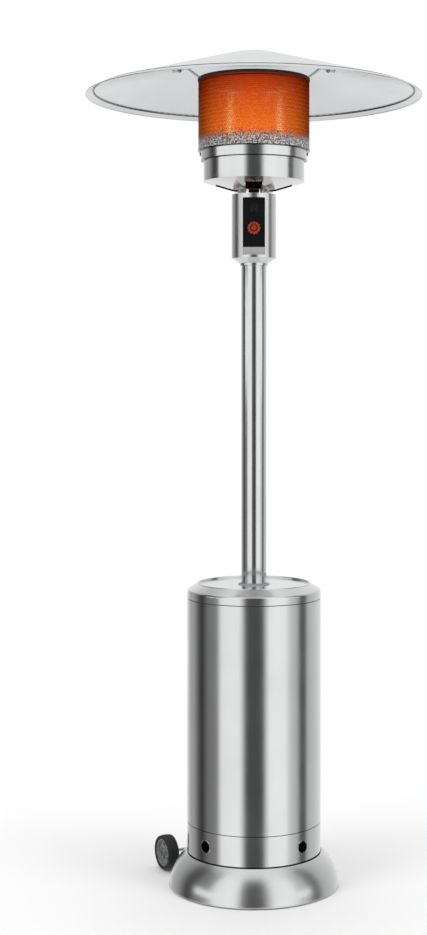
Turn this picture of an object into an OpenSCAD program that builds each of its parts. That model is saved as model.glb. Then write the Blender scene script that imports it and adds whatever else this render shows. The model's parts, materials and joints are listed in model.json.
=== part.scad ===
// Floor-standing gas patio heater: domed base on two wheels, sliding bottle housing, post,
// control neck, radiant burner and a spun reflector dish. Millimetres, +Z up, origin on the
// floor below the post, controls facing -Y.

/* [Base] */
// Diameter of the base skirt at its lower edge
base_d = 445; // [440:1:480]
// Height of the base skirt
skirt_h = 87; // [75:1:105]
// Radius of the skirt's rounded flank
skirt_arc_r = 130; // [115:1:180]
// Sheet thickness of the skirt
skirt_t = 1.2; // [0.8:0.1:1.8]
// Radius of the rolled edge at the foot of the skirt
skirt_roll_r = 1.6; // [1.2:0.1:2.2]
// Height of the skirt's lower edge above the floor
skirt_lift = 3; // [2:0.5:5]
// Gap between the housing wall and the outside of the skirt's top edge
skirt_gap = 3.3; // [2.5:0.1:5]
// Depth of the seat for the housing below the skirt's top edge
ledge_drop = 5; // [3:0.5:8]
// Width of the seat inside the housing wall
ledge_lap = 8; // [6:0.5:9]
// Thickness of the base plate
plate_t = 3; // [2:0.5:5]
// Radius of the ring bead that locates the bottle's foot
bead_ring_r = 118; // [105:1:130]
// Height of the ring bead
bead_h = 6; // [4:0.5:8]
// Number of drain holes in the base plate
drain_n = 6; // [3:1:8]
// Diameter of a drain hole
drain_d = 24; // [12:1:40]
// Radius of the ring of drain holes
drain_ring_r = 70; // [50:1:85]

/* [Feet] */
// Number of foot pads
pad_n = 6; // [3:3:6]
// Diameter of a foot pad
pad_d = 26; // [20:0.5:27]
// Height of a foot pad
pad_h = 6; // [5:0.5:9]
// Chamfer at the lower edge of a foot pad
pad_edge = 1.5; // [0.5:0.1:2]
// Depth of the screw recess in a foot pad
pad_recess = 3.2; // [2.8:0.1:3.8]

/* [Wheels] */
// Direction of the wheel bracket from the post, from +X towards +Y
wheel_az = 120; // [105:1:135]
// Wheel diameter over the tyre
wheel_d = 92; // [80:1:105]
// Wheel width
wheel_w = 30; // [22:1:36]
// Height of the tyre above the floor while the heater stands upright
wheel_lift = 2; // [1:0.5:6]
// How far the tyre is tucked inside the skirt's lower diameter
wheel_tuck = 4; // [1:0.5:5]
// Distance between the outer faces of the bracket ears
ear_span = 250; // [230:1:260]
// Radius of a bracket ear
ear_r = 12; // [10:0.5:16]
// Thickness of the bracket plate
bracket_t = 3; // [2:0.5:4]
// Width of the bracket tongue under the skirt
tongue_w = 110; // [90:1:120]
// Length of the tongue inside the skirt's lower edge
tongue_len = 55; // [50:1:58]
// Gap between the skirt's lower edge and the bracket's cross strap
bracket_gap = 1.5; // [1:0.1:3]
// Axle diameter
axle_d = 8; // [6:0.5:10]
// Radial thickness of the tyre
tyre_t = 10; // [7:0.5:12]
// Crown radius across the tread
tread_crown_r = 60; // [45:1:90]
// Width of a tread groove
groove_w = 2.4; // [1.5:0.1:3]
// Depth of a tread groove
groove_h = 1.6; // [1:0.1:2]
// Distance of each tread groove from the middle of the tread
groove_at = 5; // [4:0.5:7]
// Diameter of the wheel hub's boss
boss_d = 18; // [15:0.5:22]
// Length of the boss outside the wheel's outer face
boss_out = 2; // [1:0.5:4]
// Length of the boss inside the wheel's inner face
boss_in = 3.6; // [2:0.1:6]
// Thickness of the hub's web
web_t = 6; // [4:0.5:8]
// Radial thickness of the hub's rim
hub_rim_t = 3; // [2:0.5:4]
// Setback of the hub's rim from the tyre's faces
hub_rim_in = 2; // [1:0.5:4]
// Number of round openings in the hub's web
web_hole_n = 6; // [5:1:7]
// Diameter of an opening in the hub's web
web_hole_d = 14; // [10:0.5:15]
// Diameter of an axle cap
axle_cap_d = 16; // [14:0.5:18]
// Length of an axle cap
axle_cap_h = 4; // [3:0.5:6]

/* [Support frame] */
// Diameter of the gas bottle that the frame stands round
bottle_d = 305; // [290:1:309]
// Gap between the bottle and a support leg
bottle_gap = 5; // [3:0.5:7]
// Width of a support leg
leg_w = 35; // [28:1:40]
// Thickness of a support leg
leg_t = 4; // [3:0.5:5]
// Inside bend radius of the leg's middle line
leg_bend_r = 12; // [8:1:13]
// Length of a leg's foot on the base plate
leg_foot = 28; // [24:1:31]
// Height of the socket plate below the top of the housing barrel
socket_depth = 100; // [90:1:115]
// Height of a leg's knee below the socket plate
knee_drop = 95; // [75:1:115]
// Radius at which a leg turns level under the socket plate
leg_turn_r = 82; // [76:1:90]
// Radius of the leg's inner end
leg_tip_r = 42; // [40:1:44]
// Diameter of the socket plate
socket_d = 156; // [146:1:165]
// Thickness of the socket plate
socket_t = 5; // [4:0.5:8]
// Height of the sleeve round the post
sleeve_h = 45; // [35:1:55]
// Wall of the sleeve round the post
sleeve_t = 3.5; // [2.5:0.5:5]
// Thickness of a gusset on the socket
gusset_t = 4; // [3:0.5:6]

/* [Bottle housing] */
// Outside diameter of the housing
housing_d = 351.4; // [348:0.2:356]
// Sheet thickness of the housing
housing_t = 1; // [0.8:0.1:1.2]
// Height of the vented lower ring
ring_h = 84; // [70:1:95]
// Height of the plain barrel
barrel_h = 586; // [550:1:630]
// Height of the cap above the barrel
cap_h = 39; // [32:1:46]
// Height of the cap's straight band
cap_band_h = 20; // [14:1:24]
// Diameter of the cap's raised rim
cap_rim_d = 298; // [280:1:310]
// Width of the cap's raised rim
cap_rim_w = 4; // [3:0.5:5]
// Radius between the cap's band and its shoulder
cap_round_r = 8; // [4:0.5:10]
// Depth of the cap's disc below its rim
cap_recess = 5; // [3:0.5:7]
// Number of vent holes in the lower ring
vent_n = 4; // [2:2:8]
// Diameter of a vent hole
vent_d = 30.6; // [24:0.2:36]
// Width of the raised rim round a vent hole
vent_rim_w = 1.6; // [1:0.1:2.5]
// Height of the raised rim above the housing wall
vent_rim_h = 0.8; // [0.5:0.1:1.2]
// Height of the vent holes below the top of the ring
vent_drop = 38; // [34:1:42]
// Length of the inner sleeve that joins two housing sections
joint_len = 14; // [10:1:18]
// Depth of the groove at a housing seam
seam_depth = 0.6; // [0.3:0.1:0.7]
// Height of the groove at a housing seam
seam_h = 1.8; // [0.8:0.1:2.5]
// Width of the barrel's upright lock seam at the rear
lock_w = 14; // [10:1:18]

/* [Post] */
// Outside diameter of the post
post_d = 66; // [62:0.5:70]
// Wall of the post
post_t = 1.5; // [1.2:0.1:2.5]
// Length of the post
post_len = 990; // [900:5:1100]
// Clearance between the post and the cap's grommet
slide_gap = 0.5; // [0.3:0.1:0.8]
// Radial thickness of the grommet
grommet_t = 8; // [6:0.5:10]
// Radial lap of the grommet over the cap's disc
grommet_lap = 4; // [3:0.5:5]
// Height of each grommet flange
grommet_h = 2.5; // [2:0.5:4]

/* [Control neck] */
// Outside diameter of the neck
neck_d = 116.6; // [114:0.2:122]
// Wall of the neck
neck_t = 1.2; // [1:0.1:1.6]
// Height of the neck
neck_h = 168; // [160:1:185]
// Length of the collar below the neck
collar_h = 19; // [14:1:26]
// Height of the cone between the neck and its collar
neck_cone_h = 13; // [8:1:13]
// Wall of the collar round the post
collar_t = 3.5; // [2.5:0.5:5]
// Width of the control window
window_w = 58; // [54:0.5:62]
// Height of the control panel seen in the window
window_h = 129; // [122:1:134]
// Distance of the window below the top of the neck
window_drop = 12; // [10:0.5:14]
// Height of the plain tab below the control panel
tab_h = 20; // [16:0.5:21]
// Setback of the control panel behind the window's edges
panel_recess = 2.5; // [2:0.1:4]
// Thickness of the control panel
panel_t = 2; // [1.6:0.1:3]
// Thickness of the plain tab
tab_t = 1.5; // [1:0.1:1.8]
// Distance of the knob's axis below the top of the window
knob_drop = 81; // [76:1:86]
// Distance of the igniter below the top of the window
igniter_drop = 26; // [20:1:30]

/* [Controls] */
// Diameter of the control knob
knob_d = 36; // [30:0.5:42]
// Length of the control knob
knob_len = 20; // [16:0.5:26]
// Number of grip flutes round the knob
knob_flutes = 8; // [6:1:10]
// Depth of a grip flute
flute_depth = 2; // [1:0.1:2.4]
// Height of the raised pointer on the knob's face
pointer_h = 1.2; // [0.6:0.1:2]
// Chamfer at the front edges of the knob and the button
control_edge = 1.5; // [0.8:0.1:2]
// Travel of the knob when it is pushed in
push_travel = 4; // [3:0.5:5]
// Free space left behind the knob at the end of its travel
push_spare = 0.5; // [0.4:0.1:1]
// Diameter of the valve stem
stem_d = 8; // [6:0.5:9]
// Diameter of the stem's rear pin
stem_pin_d = 6; // [4:0.5:6]
// Diameter of the valve's plunger
plunger_d = 14; // [12:0.5:16]
// Length of the valve's plunger
plunger_len = 10; // [8:0.5:12]
// Thickness of the valve's front wall
valve_front_t = 6; // [5:0.5:8]
// Width of the valve body
valve_w = 34; // [30:1:38]
// Height of the valve body
valve_h = 50; // [44:1:56]
// Depth of the valve body behind the gas line
valve_back = 14; // [12:1:18]
// Length of the valve's inlet boss
inlet_boss_len = 12; // [10:0.5:16]
// Diameter of the valve's inlet boss
inlet_boss_d = 18; // [15:0.5:22]
// Diameter of the valve's outlet boss
outlet_boss_d = 16; // [14:0.5:18]
// Length of the valve's outlet boss and jet
outlet_boss_len = 38; // [34:1:42]
// Diameter of the igniter's bezel
bezel_d = 26; // [24:0.5:30]
// Thickness of the igniter's bezel
bezel_t = 3.4; // [2.6:0.2:4.6]
// Diameter of the igniter's barrel
igniter_d = 19; // [18:0.5:22]
// Length of the igniter's barrel behind the panel
igniter_len = 27; // [25:0.5:30]
// Diameter of the igniter's button
button_d = 16; // [12:0.5:16]
// Travel of the igniter's button
button_travel = 5; // [3:0.5:6]
// Height of the button above its bezel at rest
button_proud = 5.5; // [5.2:0.1:8]
// Thickness of the igniter's nut
igniter_nut_t = 4; // [3:0.5:5]

// Width of the tilt switch
tilt_w = 24; // [20:0.5:30]
// Height of the tilt switch
tilt_h = 28; // [22:1:36]
// Depth of the tilt switch
tilt_depth = 15; // [12:0.5:18]

/* [Gas line] */
// Outside diameter of the gas pipe
pipe_d = 9.52; // [8:0.02:10.4]
// Wall of the gas pipe
pipe_t = 1; // [0.8:0.1:1.4]
// Outside diameter of the male inlet thread
inlet_d = 15.88; // [14:0.02:17]
// Length of the male inlet thread
inlet_len = 16; // [12:0.5:20]
// Across-corner diameter of the inlet's hexagon
inlet_hex_d = 26; // [24:0.5:30]
// Height of the inlet's hexagon
inlet_hex_h = 10; // [8:0.5:14]
// Diameter of the inlet's shank through the socket plate
inlet_shank_d = 20; // [18:0.5:22]
// Height of the inlet's nut
inlet_nut_h = 6; // [5:0.5:8]
// Depth of the pipe's seat in a fitting
pipe_seat = 8; // [6:0.5:9]
// Diameter of the gas passage in the fittings
passage_d = 5; // [3:0.5:6]

/* [Burner] */
// Gap between the neck and the flat of the burner pan
burner_gap = 12; // [9:0.5:18]
// Diameter of the burner pan
pan_d = 265.2; // [258:0.2:270]
// Height of the pan's conical bottom
pan_cone_h = 22; // [16:1:30]
// Diameter of the flat in the middle of the pan
pan_flat_d = 122; // [118:1:130]
// Height of the pan's wall
pan_wall_h = 55; // [48:1:64]
// Sheet thickness of the pan and its ring
pan_t = 1.2; // [1:0.1:1.6]
// Width of the joint flange between the pan and its ring
pan_flange_w = 6; // [4:0.5:8]
// Width of each air port in the pan's bottom
port_w = 44; // [36:1:48]
// Inner radius of the air ports
port_in_r = 30; // [28:0.5:32]
// Outer radius of the air ports
port_out_r = 100; // [90:1:108]
// Diameter of the upper burner ring
ring_d = 279.6; // [276:0.2:284]
// Height of the upper burner ring
ring_band_h = 27; // [22:1:34]
// Width of the ring's flange under the emitter
ring_flange_w = 8; // [7.6:0.1:9]
// Width of an upright of the burner support
upright_w = 28; // [22:1:30]
// Thickness of the burner support
support_t = 2; // [1.5:0.1:3]
// Radius of the uprights' inner faces
upright_r = 42; // [40:0.5:44]
// Length of an upright's foot
upright_foot = 14; // [12:0.5:15]
// Depth of the support ring below the neck's top
support_drop = 6; // [4:0.5:8]
// Inside diameter of the support ring
support_hole_d = 56; // [52:1:60]
// Diameter of the mixing tube
venturi_d = 28; // [26:0.5:30]
// Wall of the mixing tube
venturi_t = 1.5; // [1:0.1:2]
// Length of the mixing tube below the pan's flat
venturi_down = 44; // [40:1:48]
// Length of the mixing tube above the pan's flat
venturi_up = 62; // [50:1:74]
// Diameter of the mixing tube's flange
venturi_flange_d = 46; // [40:0.5:50]
// Diameter of an air window in the mixing tube
air_hole_d = 12; // [8:0.5:14]
// Diameter of the burner head
head_d = 124; // [110:1:132]
// Height of the burner head's cone
head_h = 34; // [26:1:44]
// Diameter of the flat top of the burner head
head_top_d = 50; // [40:1:60]
// Sheet thickness of the burner head
head_t = 2; // [1.5:0.1:3]
// Number of flame ports round the burner head
flame_n = 24; // [12:2:36]
// Diameter of a flame port
flame_d = 5; // [3:0.5:6]

/* [Pilot] */
// Diameter of the pilot tube
pilot_d = 5; // [4:0.2:6]
// Distance of the pilot parts from the gas line at the valve
pilot_x0 = 19; // [18.4:0.1:19.6]
// Distance of the pilot parts from the gas line at the burner
pilot_x1 = 74; // [70:1:80]
// Spacing between pilot, thermocouple and spark electrode
pilot_pitch = 14; // [11:0.5:18]
// Height of the pilot tip above its bracket
pilot_tip_h = 12; // [8:0.5:16]
// Diameter of the thermocouple
thermo_d = 4; // [3:0.2:5]
// Diameter of the spark electrode's insulator
insulator_d = 7; // [6:0.2:8]
// Thickness of the pilot bracket
pilot_bracket_t = 2; // [1.5:0.1:3]
// Width of the pilot bracket
pilot_bracket_w = 44; // [40:1:52]

/* [Emitter] */
// Diameter of the emitter screen
emitter_d = 293.4; // [288:0.2:296]
// Height of the emitter screen
emitter_h = 187; // [170:1:210]
// Wall of the emitter screen
emitter_t = 1; // [0.8:0.1:1.4]
// Thickness of the lid on the emitter
lid_t = 3; // [2:0.5:5]
// Depth of the lid's lip over the emitter
lid_lip = 5; // [3:0.5:8]
// Wall of the lid's lip
lid_wall = 1.2; // [1:0.1:2]

/* [Reflector] */
// Diameter of the reflector dish
dish_d = 885; // [820:1:920]
// Width of the steeper rim round the dish
dish_rim_w = 23.5; // [18:0.5:30]
// Slope of the rim in degrees
dish_rim_slope = 28; // [24:0.5:32]
// Radius of the rolled hem at the dish's edge
dish_hem_r = 1.5; // [1:0.1:2]
// Radius of the pressed bead where the dish's cone meets its rim
dish_bead_r = 2.5; // [2:0.1:4]
// Slope of the dish's cone in degrees
dish_slope = 15.7; // [13:0.1:17]
// Diameter of the rounded crown of the dish
dish_crown_d = 140; // [100:1:200]
// Sheet thickness of the dish
dish_t = 1; // [0.8:0.1:1.6]
// Height of the dish's flange below the top of the emitter
dish_drop = 37; // [32:1:42]
// Width of a bracket arm
arm_w = 34; // [31:0.5:40]
// Thickness of a bracket arm
arm_t = 2; // [1.5:0.1:3]
// Number of bracket arms
arm_n = 2; // [2:1:4]
// Radius at which a bracket arm leaves the lid
arm_bend_r0 = 140; // [130:1:146]
// Radius at which a bracket arm meets the dish
arm_bend_r1 = 178; // [170:1:184]
// Length of a bracket arm's pad along the dish
arm_pad = 38; // [32:1:44]
// Radius of the bolts that hold the dish
dish_bolt_r = 197; // [194:0.5:202]
// Spacing of the two bolts across a bracket arm
dish_bolt_pitch = 18; // [16:0.5:20]
// Diameter of the bracket's middle plate
spider_d = 120; // [100:1:150]
// Radius of the bolts that hold the bracket on the lid
lid_bolt_r = 46; // [42:0.5:48]
// Number of bolts that hold the bracket on the lid
lid_bolt_n = 4; // [3:1:6]

/* [Fasteners] */
// Shank diameter of the frame bolts
frame_bolt_d = 8; // [6:0.5:8]
// Shank diameter of the small bolts
small_bolt_d = 5; // [4:0.5:6]
// Length of thread past a nut
thread_past = 1; // [0.5:0.1:2]

/* [Fits] */
// Radial gap between nested fixed pieces
fit = 0.1; // [0.05:0.01:0.2]
// Radial clearance of a running fit
run_fit = 0.05; // [0.03:0.01:0.1]
// End gap of a turning piece
end_gap = 0.4; // [0.3:0.1:0.6]
// Radial gap round a bolt
bolt_gap = 0.2; // [0.1:0.05:0.4]

/* [Hidden] */
$fn = 96;
base_r = base_d / 2;
housing_r = housing_d / 2;
housing_in_r = housing_r - housing_t;
joint_r = housing_in_r - fit;
skirt_top = skirt_lift + skirt_h;
skirt_top_r = housing_r + skirt_gap;
ledge_z = skirt_top - ledge_drop;
ledge_in_r = housing_in_r - ledge_lap;
ring_top = ledge_z + ring_h;
barrel_top = ring_top + barrel_h;
cap_top = barrel_top + cap_h;
cap_rim_r = cap_rim_d / 2;
cap_disc_top = cap_top - cap_recess;
plate_top = pad_h + plate_t;

// The skirt's flank is an arc through its lower edge and its top edge.
skirt_low = [base_r, skirt_lift];
skirt_high = [skirt_top_r, skirt_top];
skirt_chord = skirt_high - skirt_low;
skirt_centre = (skirt_low + skirt_high) / 2 + left(unit(skirt_chord))
    * sqrt(pow(skirt_arc_r, 2) - pow(norm(skirt_chord) / 2, 2));
function skirt_in_r(z) =
    skirt_centre[0] + sqrt(pow(skirt_arc_r - skirt_t, 2) - pow(z - skirt_centre[1], 2));
function skirt_out_r(z) = skirt_centre[0] + sqrt(pow(skirt_arc_r, 2) - pow(z - skirt_centre[1], 2));
plate_r = skirt_in_r(plate_top) - bolt_gap;

leg_r = bottle_d / 2 + bottle_gap + leg_t / 2;
leg_foot_r = leg_r + leg_t / 2 + leg_foot;
// The pads lie between the legs' feet and the skirt's rolled edge, and the flange takes their screws.
leg_clear_r = norm([leg_foot_r, leg_w / 2]) + bolt_gap + fit;
skirt_edge_in_r = base_r - skirt_t / 2 - skirt_roll_r;
pad_ring_r = min((leg_clear_r + plate_r) / 2, skirt_edge_in_r - pad_d / 2 - end_gap);
flange_in_r = min(leg_clear_r, pad_ring_r - 2 * small_bolt_d);
leg_foot_bolt_r = leg_foot_r - 1.1 * frame_bolt_d;
leg_top_bolt_r = (leg_turn_r + leg_tip_r) / 2 - leg_t / 2;
leg_az = [60, 180, 300];
socket_z = barrel_top - socket_depth;

// The wheel's nearest corner to the post lies wheel_tuck inside the skirt's lower radius, or as far
// out as the axle needs to pass the skirt's flank.
wheel_r = wheel_d / 2;
axle_r = axle_d / 2;
ear_half = ear_span / 2;
wheel_in = ear_half + end_gap + boss_in;
axle_z = wheel_r + wheel_lift;
axle_x = max(
    wheel_r + sqrt(pow(base_r - wheel_tuck, 2) - pow(wheel_in, 2)),
    skirt_out_r(axle_z - axle_r) + axle_r + bracket_gap
);
wheel_out = wheel_in + wheel_w + boss_out;
strap_x = base_r + bracket_gap;
strap_end_x = axle_x + ear_r;
// The tongue reaches at least one bolt head past the flange.
tongue_x = min(base_r - tongue_len, flange_in_r - 2.8 * frame_bolt_d);
bracket_bolt_x = tongue_x + (flange_in_r - tongue_x) / 2;
bracket_bolt_y = tongue_w / 3;
tyre_in_r = wheel_r - tyre_t;
hub_r = tyre_in_r - fit;
web_hole_ring = (hub_r - hub_rim_t + boss_d / 2) / 2;

post_r = post_d / 2;
post_z = socket_z + socket_t;
post_top = post_z + post_len;
sleeve_r = post_r + fit + sleeve_t;
cap_hole_r = post_r + slide_gap + grommet_t - grommet_lap;

// The neck's floor has a lip of floor_lip over the post's upper end.
floor_lip = 2;
floor_below = 3;
neck_r = neck_d / 2;
neck_in_r = neck_r - neck_t;
neck_z = post_top - floor_below;
neck_top = neck_z + neck_h;
window_top = neck_top - window_drop;
panel_z = window_top - window_h;
tab_z = panel_z - tab_h;
panel_y = -(sqrt(pow(neck_r, 2) - pow(window_w / 2, 2)) - panel_recess);
panel_back = panel_y + panel_t;
knob_z = window_top - knob_drop;
igniter_z = window_top - igniter_drop;
knob_back = panel_y - push_travel - push_spare;
knob_front = knob_back - knob_len;
chamber_y = panel_back + valve_front_t;
valve_z0 = knob_z - valve_h / 2;
valve_z1 = knob_z + valve_h / 2;
inlet_boss_z = valve_z0 - inlet_boss_len;

pan_z = neck_top + burner_gap;
pan_r = pan_d / 2;
pan_wall_z = pan_z + pan_cone_h;
pan_top = pan_wall_z + pan_wall_h;
ring_r = ring_d / 2;
burner_top = pan_top + ring_band_h;
venturi_r = venturi_d / 2;
venturi_top = pan_z + pan_t + venturi_up;
support_z = neck_top - support_drop;
upright_bolt_r = upright_r + support_t + upright_foot / 2;
head_z = venturi_top;
pilot_bracket_z = head_z - pilot_bracket_t;
pilot_turn_z = pan_z + pan_cone_h;
pilot_bend_r = 2 * pilot_d;

emitter_r = emitter_d / 2;
emitter_top = burner_top + emitter_h;
lid_top = emitter_top + lid_t;
lid_r = emitter_r + fit + lid_wall;

dish_r = dish_d / 2;
dish_cone_r = dish_r - dish_rim_w;
dish_z = lid_top - dish_drop;
dish_crown_r = dish_crown_d / 2;
dish_crown_arc = dish_crown_r / sin(dish_slope);
// Height of the dish's underside at radius r on its cone.
function dish_under(r) = dish_z + (dish_cone_r - r) * tan(dish_slope);

steel = "#c9cccc";
dark_steel = "#55585a";
zinc = "#9a9d9f";
brass = "#c2a04c";
black = "#1c1c1d";
rubber = "#232323";

// Helpers

module around(count, phase = 0) {
    for (i = [0 : count - 1])
        rotate([0, 0, phase + 360 * i / count])
            children();
}

module pipe(r_out, r_in, h) {
    difference() {
        cylinder(r = r_out, h = h);
        translate([0, 0, -1])
            cylinder(r = r_in, h = h + 2);
    }
}

// A hexagon bolt through a stack of height grip: head above z = 0, nut below the stack.
module bolt(d, grip, head_h = 0, nut_h = 0) {
    head = head_h == 0 ? d * 0.65 : head_h;
    nut = nut_h == 0 ? d * 0.8 : nut_h;
    cylinder(d = d * 1.9, h = head, $fn = 6);
    translate([0, 0, -grip - nut - thread_past])
        cylinder(d = d, h = grip + nut + thread_past, $fn = 32);
    translate([0, 0, -grip - nut])
        cylinder(d = d * 1.9, h = nut, $fn = 6);
}

module bolt_hole(d, h) {
    translate([0, 0, -h / 2])
        cylinder(r = d / 2 + bolt_gap, h = h, $fn = 32);
}

// Flat bar bent along a path in the radius and height plane.
function unit(v) = v / norm(v);
function left(v) = [-v[1], v[0]];
function bend(a, p, b, r, n = 6) =
    let (u = unit(a - p), v = unit(b - p), half = acos(u * v) / 2)
    let (c = p + unit(u + v) * r / sin(half), reach = r / tan(half))
    let (s = p + u * reach - c, e = p + v * reach - c)
    let (a0 = atan2(s[1], s[0]), turn = (atan2(e[1], e[0]) - a0 + 540) % 360 - 180)
    [for (i = [0 : n]) c + r * [cos(a0 + turn * i / n), sin(a0 + turn * i / n)]];
function rounded(p, r) =
    [p[0], for (i = [1 : len(p) - 2]) each bend(p[i - 1], p[i], p[i + 1], r), p[len(p) - 1]];
function mitre(p, i) =
    let (n = len(p) - 1, a = i > 0 ? unit(p[i] - p[i - 1]) : unit(p[1] - p[0]))
    let (b = i < n ? unit(p[i + 1] - p[i]) : a, m = unit(left(a) + left(b)))
    m / (m * left(b));
function bar_outline(p, t) = concat(
    [for (i = [0 : len(p) - 1]) p[i] + mitre(p, i) * t / 2],
    [for (i = [len(p) - 1 : -1 : 0]) p[i] - mitre(p, i) * t / 2]);

module flat_bar(path, t, w, bend_r) {
    rotate([90, 0, 0])
        linear_extrude(height = w, center = true)
            polygon(bar_outline(rounded(path, bend_r), t));
}

// Thin rod that rises at x0, runs level at height z_run and rises again at x1.
module dogleg(r, bend_r, x0, x1, z0, z_run, z1) {
    translate([x0, 0, z0])
        cylinder(r = r, h = z_run - bend_r - z0, $fn = 32);
    translate([x0 + bend_r, 0, z_run - bend_r])
        quarter_turn(r, bend_r, 90);
    translate([x0 + bend_r, 0, z_run])
        rotate([0, 90, 0])
            cylinder(r = r, h = x1 - x0 - 2 * bend_r, $fn = 32);
    translate([x1 - bend_r, 0, z_run + bend_r])
        quarter_turn(r, bend_r, 270);
    translate([x1, 0, z_run + bend_r])
        cylinder(r = r, h = z1 - z_run - bend_r, $fn = 32);
}

// Quarter of a bent rod in the XZ plane that starts at angle from.
module quarter_turn(r, bend_r, from) {
    rotate([90, 0, 0])
        rotate([0, 0, from])
            rotate_extrude(angle = 90, $fn = 64)
                translate([bend_r, 0])
                    circle(r = r, $fn = 32);
}

// Feet and base

module foot_pads() {
    color(rubber)
        around(pad_n, 30)
            translate([pad_ring_r, 0, 0])
                difference() {
                    rotate_extrude()
                        polygon([
                            [0, 0], [pad_d / 2 - pad_edge, 0], [pad_d / 2, pad_edge],
                            [pad_d / 2, pad_h], [0, pad_h]
                        ]);
                    translate([0, 0, -1])
                        cylinder(d = small_bolt_d * 2.4, h = pad_recess + 1, $fn = 48);
                    bolt_hole(small_bolt_d, 4 * pad_h);
                }
}

module foot_screws() {
    color(zinc)
        around(pad_n, 30)
            translate([pad_ring_r, 0, pad_recess])
                mirror([0, 0, 1])
                    bolt(small_bolt_d, plate_top + skirt_t - pad_recess, head_h = pad_recess * 0.75);
}

module base_plate() {
    color(dark_steel)
        difference() {
            union() {
                translate([0, 0, pad_h])
                    cylinder(r = plate_r, h = plate_t);
                rotate_extrude()
                    translate([bead_ring_r, plate_top])
                        intersection() {
                            circle(r = bead_h, $fn = 48);
                            translate([-bead_h, -plate_t / 2])
                                square([2 * bead_h, bead_h + plate_t]);
                        }
            }
            around(drain_n)
                translate([drain_ring_r, 0, plate_top])
                    cylinder(d = drain_d, h = 4 * plate_t, center = true, $fn = 48);
            around(pad_n, 30)
                translate([pad_ring_r, 0, plate_top])
                    bolt_hole(small_bolt_d, 4 * plate_t);
            for (a = leg_az)
                rotate([0, 0, a])
                    translate([leg_foot_bolt_r, 0, plate_top])
                        bolt_hole(frame_bolt_d, 4 * plate_t);
            at_bracket_bolts()
                bolt_hole(frame_bolt_d, 4 * plate_t);
        }
}

// Rounded flank, seat for the housing and flange on the base plate.
module skirt_profile() {
    wall_r = skirt_top_r - skirt_t;
    intersection() {
        translate(skirt_centre)
            difference() {
                circle(r = skirt_arc_r, $fn = 180);
                circle(r = skirt_arc_r - skirt_t, $fn = 180);
            }
        translate([wall_r, skirt_lift])
            square([base_r - wall_r + 1, skirt_h]);
    }
    translate([base_r - skirt_t / 2, skirt_lift + skirt_roll_r])
        circle(r = skirt_roll_r, $fn = 48);
    translate([wall_r, ledge_z - skirt_t])
        square([skirt_t, ledge_drop + skirt_t / 2]);
    translate([ledge_in_r, ledge_z - skirt_t])
        square([wall_r - ledge_in_r + skirt_t / 2, skirt_t]);
    translate([flange_in_r, plate_top])
        square([skirt_in_r(plate_top) + skirt_t / 2 - flange_in_r, skirt_t]);
}

module base_skirt() {
    color(steel)
        difference() {
            rotate_extrude($fn = 180)
                skirt_profile();
            rotate([0, 0, wheel_az])
                translate([tongue_x, -tongue_w / 2 - end_gap, 0])
                    cube([base_r, tongue_w + 2 * end_gap, plate_top + bracket_t + end_gap]);
            for (a = leg_az)
                rotate([0, 0, a])
                    translate([0, -leg_w / 2 - bolt_gap, plate_top - skirt_t])
                        cube([leg_foot_r + bolt_gap, leg_w + 2 * bolt_gap, 3 * skirt_t]);
            around(pad_n, 30)
                translate([pad_ring_r, 0, plate_top])
                    bolt_hole(small_bolt_d, 4 * skirt_t);
        }
}

// Wheel set

module at_bracket_bolts() {
    rotate([0, 0, wheel_az])
        for (side = [-1, 1])
            translate([bracket_bolt_x, side * bracket_bolt_y, plate_top])
                children();
}

module wheel_bracket() {
    color(zinc)
        difference() {
            rotate([0, 0, wheel_az]) {
                translate([tongue_x, -tongue_w / 2, plate_top])
                    cube([strap_end_x - tongue_x, tongue_w, bracket_t]);
                translate([strap_x, -ear_half, plate_top])
                    cube([strap_end_x - strap_x, ear_span, bracket_t]);
                for (y = [-ear_half + bracket_t, ear_half])
                    translate([0, y, 0])
                        rotate([90, 0, 0])
                            linear_extrude(height = bracket_t)
                                ear_profile();
            }
            at_bracket_bolts()
                bolt_hole(frame_bolt_d, 4 * bracket_t);
        }
}

module ear_profile() {
    difference() {
        union() {
            translate([axle_x, axle_z])
                circle(r = ear_r, $fn = 64);
            translate([axle_x - ear_r, plate_top])
                square([2 * ear_r, axle_z - plate_top]);
        }
        translate([axle_x, axle_z])
            circle(r = axle_r + run_fit, $fn = 48);
    }
}

module bracket_bolts() {
    color(zinc)
        at_bracket_bolts()
            translate([0, 0, bracket_t])
                bolt(frame_bolt_d, bracket_t + plate_t, nut_h = pad_h / 2 - thread_past);
}

module wheel_axle() {
    half = wheel_out + end_gap + axle_cap_h * 0.8;
    color(zinc)
        rotate([0, 0, wheel_az])
            translate([axle_x, half, axle_z])
                rotate([90, 0, 0])
                    cylinder(r = axle_r, h = 2 * half, $fn = 48);
}

// Local z runs outwards along the axle from the wheel's inner face.
module at_wheel(side) {
    rotate([0, 0, wheel_az])
        translate([axle_x, side * wheel_in, axle_z])
            rotate([-90 * side, 0, 0])
                children();
}

module axle_caps() {
    color(zinc)
        for (side = [-1, 1])
            at_wheel(side)
                translate([0, 0, wheel_w + boss_out + end_gap])
                    difference() {
                        cylinder(d = axle_cap_d, h = axle_cap_h, $fn = 48);
                        translate([0, 0, -1])
                            cylinder(r = axle_r + fit, h = axle_cap_h * 0.8 + 1, $fn = 48);
                    }
}

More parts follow.
